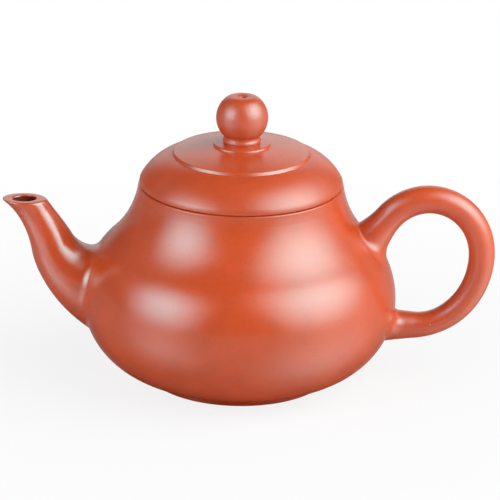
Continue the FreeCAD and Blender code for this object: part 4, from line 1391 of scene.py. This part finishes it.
def stage_material(looks):
    """A pale floor that reads as white, and keeps the pot's shadow. Its reflection has painted
    shadow.
    """
    material = bpy.data.materials.new("pale_floor")
    material.use_nodes = True
    material.node_tree.nodes.clear()
    w = Wiring(material.node_tree)
    place = w.node("ShaderNodeTexCoord").outputs["Object"]
    rays = w.node("ShaderNodeLightPath").outputs
    mirrored = w.math("ADD", rays["Is Glossy Ray"], rays["Is Transmission Ray"], clamp=True)
    reach = w.vector_math("LENGTH", place)
    direct = w.math("MULTIPLY", rays["Is Camera Ray"], w.ramp(reach, *CAMERA_WHITE))
    mirrored = w.math("MULTIPLY", mirrored, w.ramp(reach, *MIRROR_WHITE))
    # Painted shadow: the polished clay shows less of the floor close by, where the pot's shadow
    # falls
    mirrored_with_painted_shadow = w.blend(w.ramp(reach, *PAINTED_SHADOW_REACH), shade(looks.floor, PAINTED_SHADOW_TONE),
                    shade(looks.floor, FAR_TONE))
    tone = w.blend(rays["Is Glossy Ray"], shade(looks.floor, LIT_TONE), mirrored_with_painted_shadow)
    matt = w.node("ShaderNodeBsdfDiffuse", {"Color": tone}).outputs["BSDF"]
    polish = w.node("ShaderNodeBsdfGlossy", {"Roughness": POLISH_ROUGHNESS}).outputs["BSDF"]
    table = w.mixed(w.math("MULTIPLY", rays["Is Glossy Ray"], FLOOR_POLISH), matt, polish)
    glow = w.node("ShaderNodeEmission", {"Color": WHITE, "Strength": 1.0}).outputs["Emission"]
    w.node("ShaderNodeOutputMaterial", {
        "Surface": w.mixed(w.math("MAXIMUM", direct, mirrored), table, glow)})
    return material


# How far in from its edges a softbox fades, by its width
SOFT_EDGE = 0.5


def softbox(name, aim, turn, rise, width, height, bright):
    """A flat lamp a metre from a point that it faces. It fades towards its edges."""
    way = Vector((math.sin(turn) * math.cos(rise), -math.cos(turn) * math.cos(rise),
                  math.sin(rise)))
    lamp = bpy.data.lights.new(name, "AREA")
    lamp.shape = "RECTANGLE"
    lamp.size, lamp.size_y = width / (1 - SOFT_EDGE), height / (1 - SOFT_EDGE)
    lamp.energy = bright * math.pi * lamp.size * lamp.size_y
    lamp.use_nodes = True
    lamp.node_tree.nodes.clear()
    w = Wiring(lamp.node_tree)
    across = w.node("ShaderNodeNewGeometry").outputs["Parametric"]
    across = w.node("ShaderNodeSeparateXYZ", {"Vector": across}).outputs
    fades = []
    for axis in "XY":
        from_edge = w.math("MINIMUM", across[axis], w.math("SUBTRACT", 1.0, across[axis]))
        fades.append(w.ramp(from_edge, 0.0, SOFT_EDGE))
    glow = w.node("ShaderNodeEmission", {"Strength": w.math("MULTIPLY", *fades)})
    w.node("ShaderNodeOutputLight", {"Surface": glow.outputs["Emission"]})
    stand = placed(name, lamp)
    stand.location = aim + way
    stand.rotation_mode = "QUATERNION"
    stand.rotation_quaternion = (-way).to_track_quat("-Z", "Y")
    stand.visible_camera = False
    return stand


def room(looks):
    """A faintly lit room that reads as white, with a soft white wall in what the clay mirrors."""
    world = bpy.data.worlds.new("room")
    world.use_nodes = True
    world.node_tree.nodes.clear()
    w = Wiring(world.node_tree)
    rays = w.node("ShaderNodeLightPath").outputs
    way = w.node("ShaderNodeTexCoord").outputs["Generated"]
    behind = w.vector_math("DOT_PRODUCT", way, (0.0, math.cos(looks.back_rise),
                                                math.sin(looks.back_rise)))
    mirrored = w.math("ADD", rays["Is Glossy Ray"], rays["Is Transmission Ray"], clamp=True)
    mirrored = w.math("MULTIPLY", w.ramp(behind, *BACK_EDGE, BACK_LEAST, looks.back), mirrored)
    strength = w.math("MAXIMUM", w.math("MAXIMUM", mirrored, rays["Is Camera Ray"]),
                      w.math("MULTIPLY", rays["Is Diffuse Ray"], looks.room))
    sky = w.node("ShaderNodeBackground", {"Color": WHITE, "Strength": strength})
    w.node("ShaderNodeOutputWorld", {"Surface": sky.outputs["Background"]})
    return world


def camera_on(aim, looks):
    """The camera, which looks down at a point."""
    data = bpy.data.cameras.new("camera")
    data.lens, data.sensor_width = looks.lens, SENSOR
    data.shift_x, data.shift_y = SHIFT
    data.clip_start, data.clip_end = CLIP
    camera = placed("camera", data)
    back = Vector((0.0, -math.cos(looks.elevation), math.sin(looks.elevation)))
    camera.location = aim + back * looks.distance
    camera.rotation_mode = "QUATERNION"
    camera.rotation_quaternion = (-back).to_track_quat("-Z", "Y") @ Quaternion(
        (0.0, 0.0, 1.0), looks.roll)
    return camera


class TEAPOT_OT_stage(bpy.types.Operator):
    """The floor, the soft lights and the camera"""
    bl_idname = "teapot.stage"
    bl_label = "Stage"

    def execute(self, context):
        looks, scene, half = context.scene.stage_looks, context.scene, FLOOR_HALF
        mesh = bpy.data.meshes.new("floor")
        mesh.from_pydata([(-half, -half, 0), (half, -half, 0), (half, half, 0), (-half, half, 0)],
                         [], [(0, 1, 2, 3)])
        floor = placed("floor", mesh)
        mesh.materials.append(stage_material(looks))
        floor.location.z = -FLOOR_DROP

        aim = Vector((0.0, 0.0, looks.aim_height))
        for side, sign in (("left", -1), ("right", 1)):
            bright, turn, rise, width, height, tint, card = (
                getattr(looks, f"{side}_{field}")
                for field in ("bright", "turn", "rise", "width", "height", "colour", "card"))
            lamp = softbox(f"softbox_{side}", aim, sign * turn, rise, width, height, bright)
            lamp.data.color = tint
            softbox(f"card_{side}", aim, sign * looks.card_turn, looks.card_rise,
                    looks.card_size, looks.card_size, card)
        scene.world = room(looks)
        scene.camera = camera_on(aim, looks)
        scene.view_settings.view_transform = "Standard"
        return {"FINISHED"}


OPERATORS = (TEAPOT_OT_pot_wall, TEAPOT_OT_pot_rings, TEAPOT_OT_spout, TEAPOT_OT_strainer,
             TEAPOT_OT_handle, TEAPOT_OT_lid, TEAPOT_OT_knob, TEAPOT_OT_stage)
SETTINGS = {"pot_sizes": PotSizes, "lid_sizes": LidSizes, "spout_sizes": SpoutSizes,
            "handle_sizes": HandleSizes, "clay_looks": ClayLooks, "stage_looks": StageLooks}


class TEAPOT_PT_panel(bpy.types.Panel):
    """Sizes, looks and makers of the teapot"""
    bl_idname = "TEAPOT_PT_panel"
    bl_label = "Teapot"
    bl_space_type = "VIEW_3D"
    bl_region_type = "UI"
    bl_category = "Teapot"

    def draw(self, context):
        for operator in OPERATORS:
            self.layout.operator(operator.bl_idname)
        for name, group in SETTINGS.items():
            box = self.layout.box()
            box.label(text=group.__doc__)
            for field in group.__annotations__:
                box.prop(getattr(context.scene, name), field)


def register():
    for group in SETTINGS.values():
        bpy.utils.register_class(group)
    for name, group in SETTINGS.items():
        setattr(bpy.types.Scene, name, PointerProperty(type=group))
    for operator in OPERATORS:
        bpy.utils.register_class(operator)
    bpy.utils.register_class(TEAPOT_PT_panel)


def unregister():
    bpy.utils.unregister_class(TEAPOT_PT_panel)
    for operator in reversed(OPERATORS):
        bpy.utils.unregister_class(operator)
    for name in SETTINGS:
        delattr(bpy.types.Scene, name)
    for group in reversed(SETTINGS.values()):
        bpy.utils.unregister_class(group)


def main():
    register()
    bpy.ops.teapot.pot_wall()
    bpy.ops.teapot.pot_rings()
    bpy.ops.teapot.spout()
    bpy.ops.teapot.strainer()
    bpy.ops.teapot.handle()
    bpy.ops.teapot.lid()
    bpy.ops.teapot.knob()
    bpy.ops.teapot.stage()


if __name__ == "__main__":
    main()
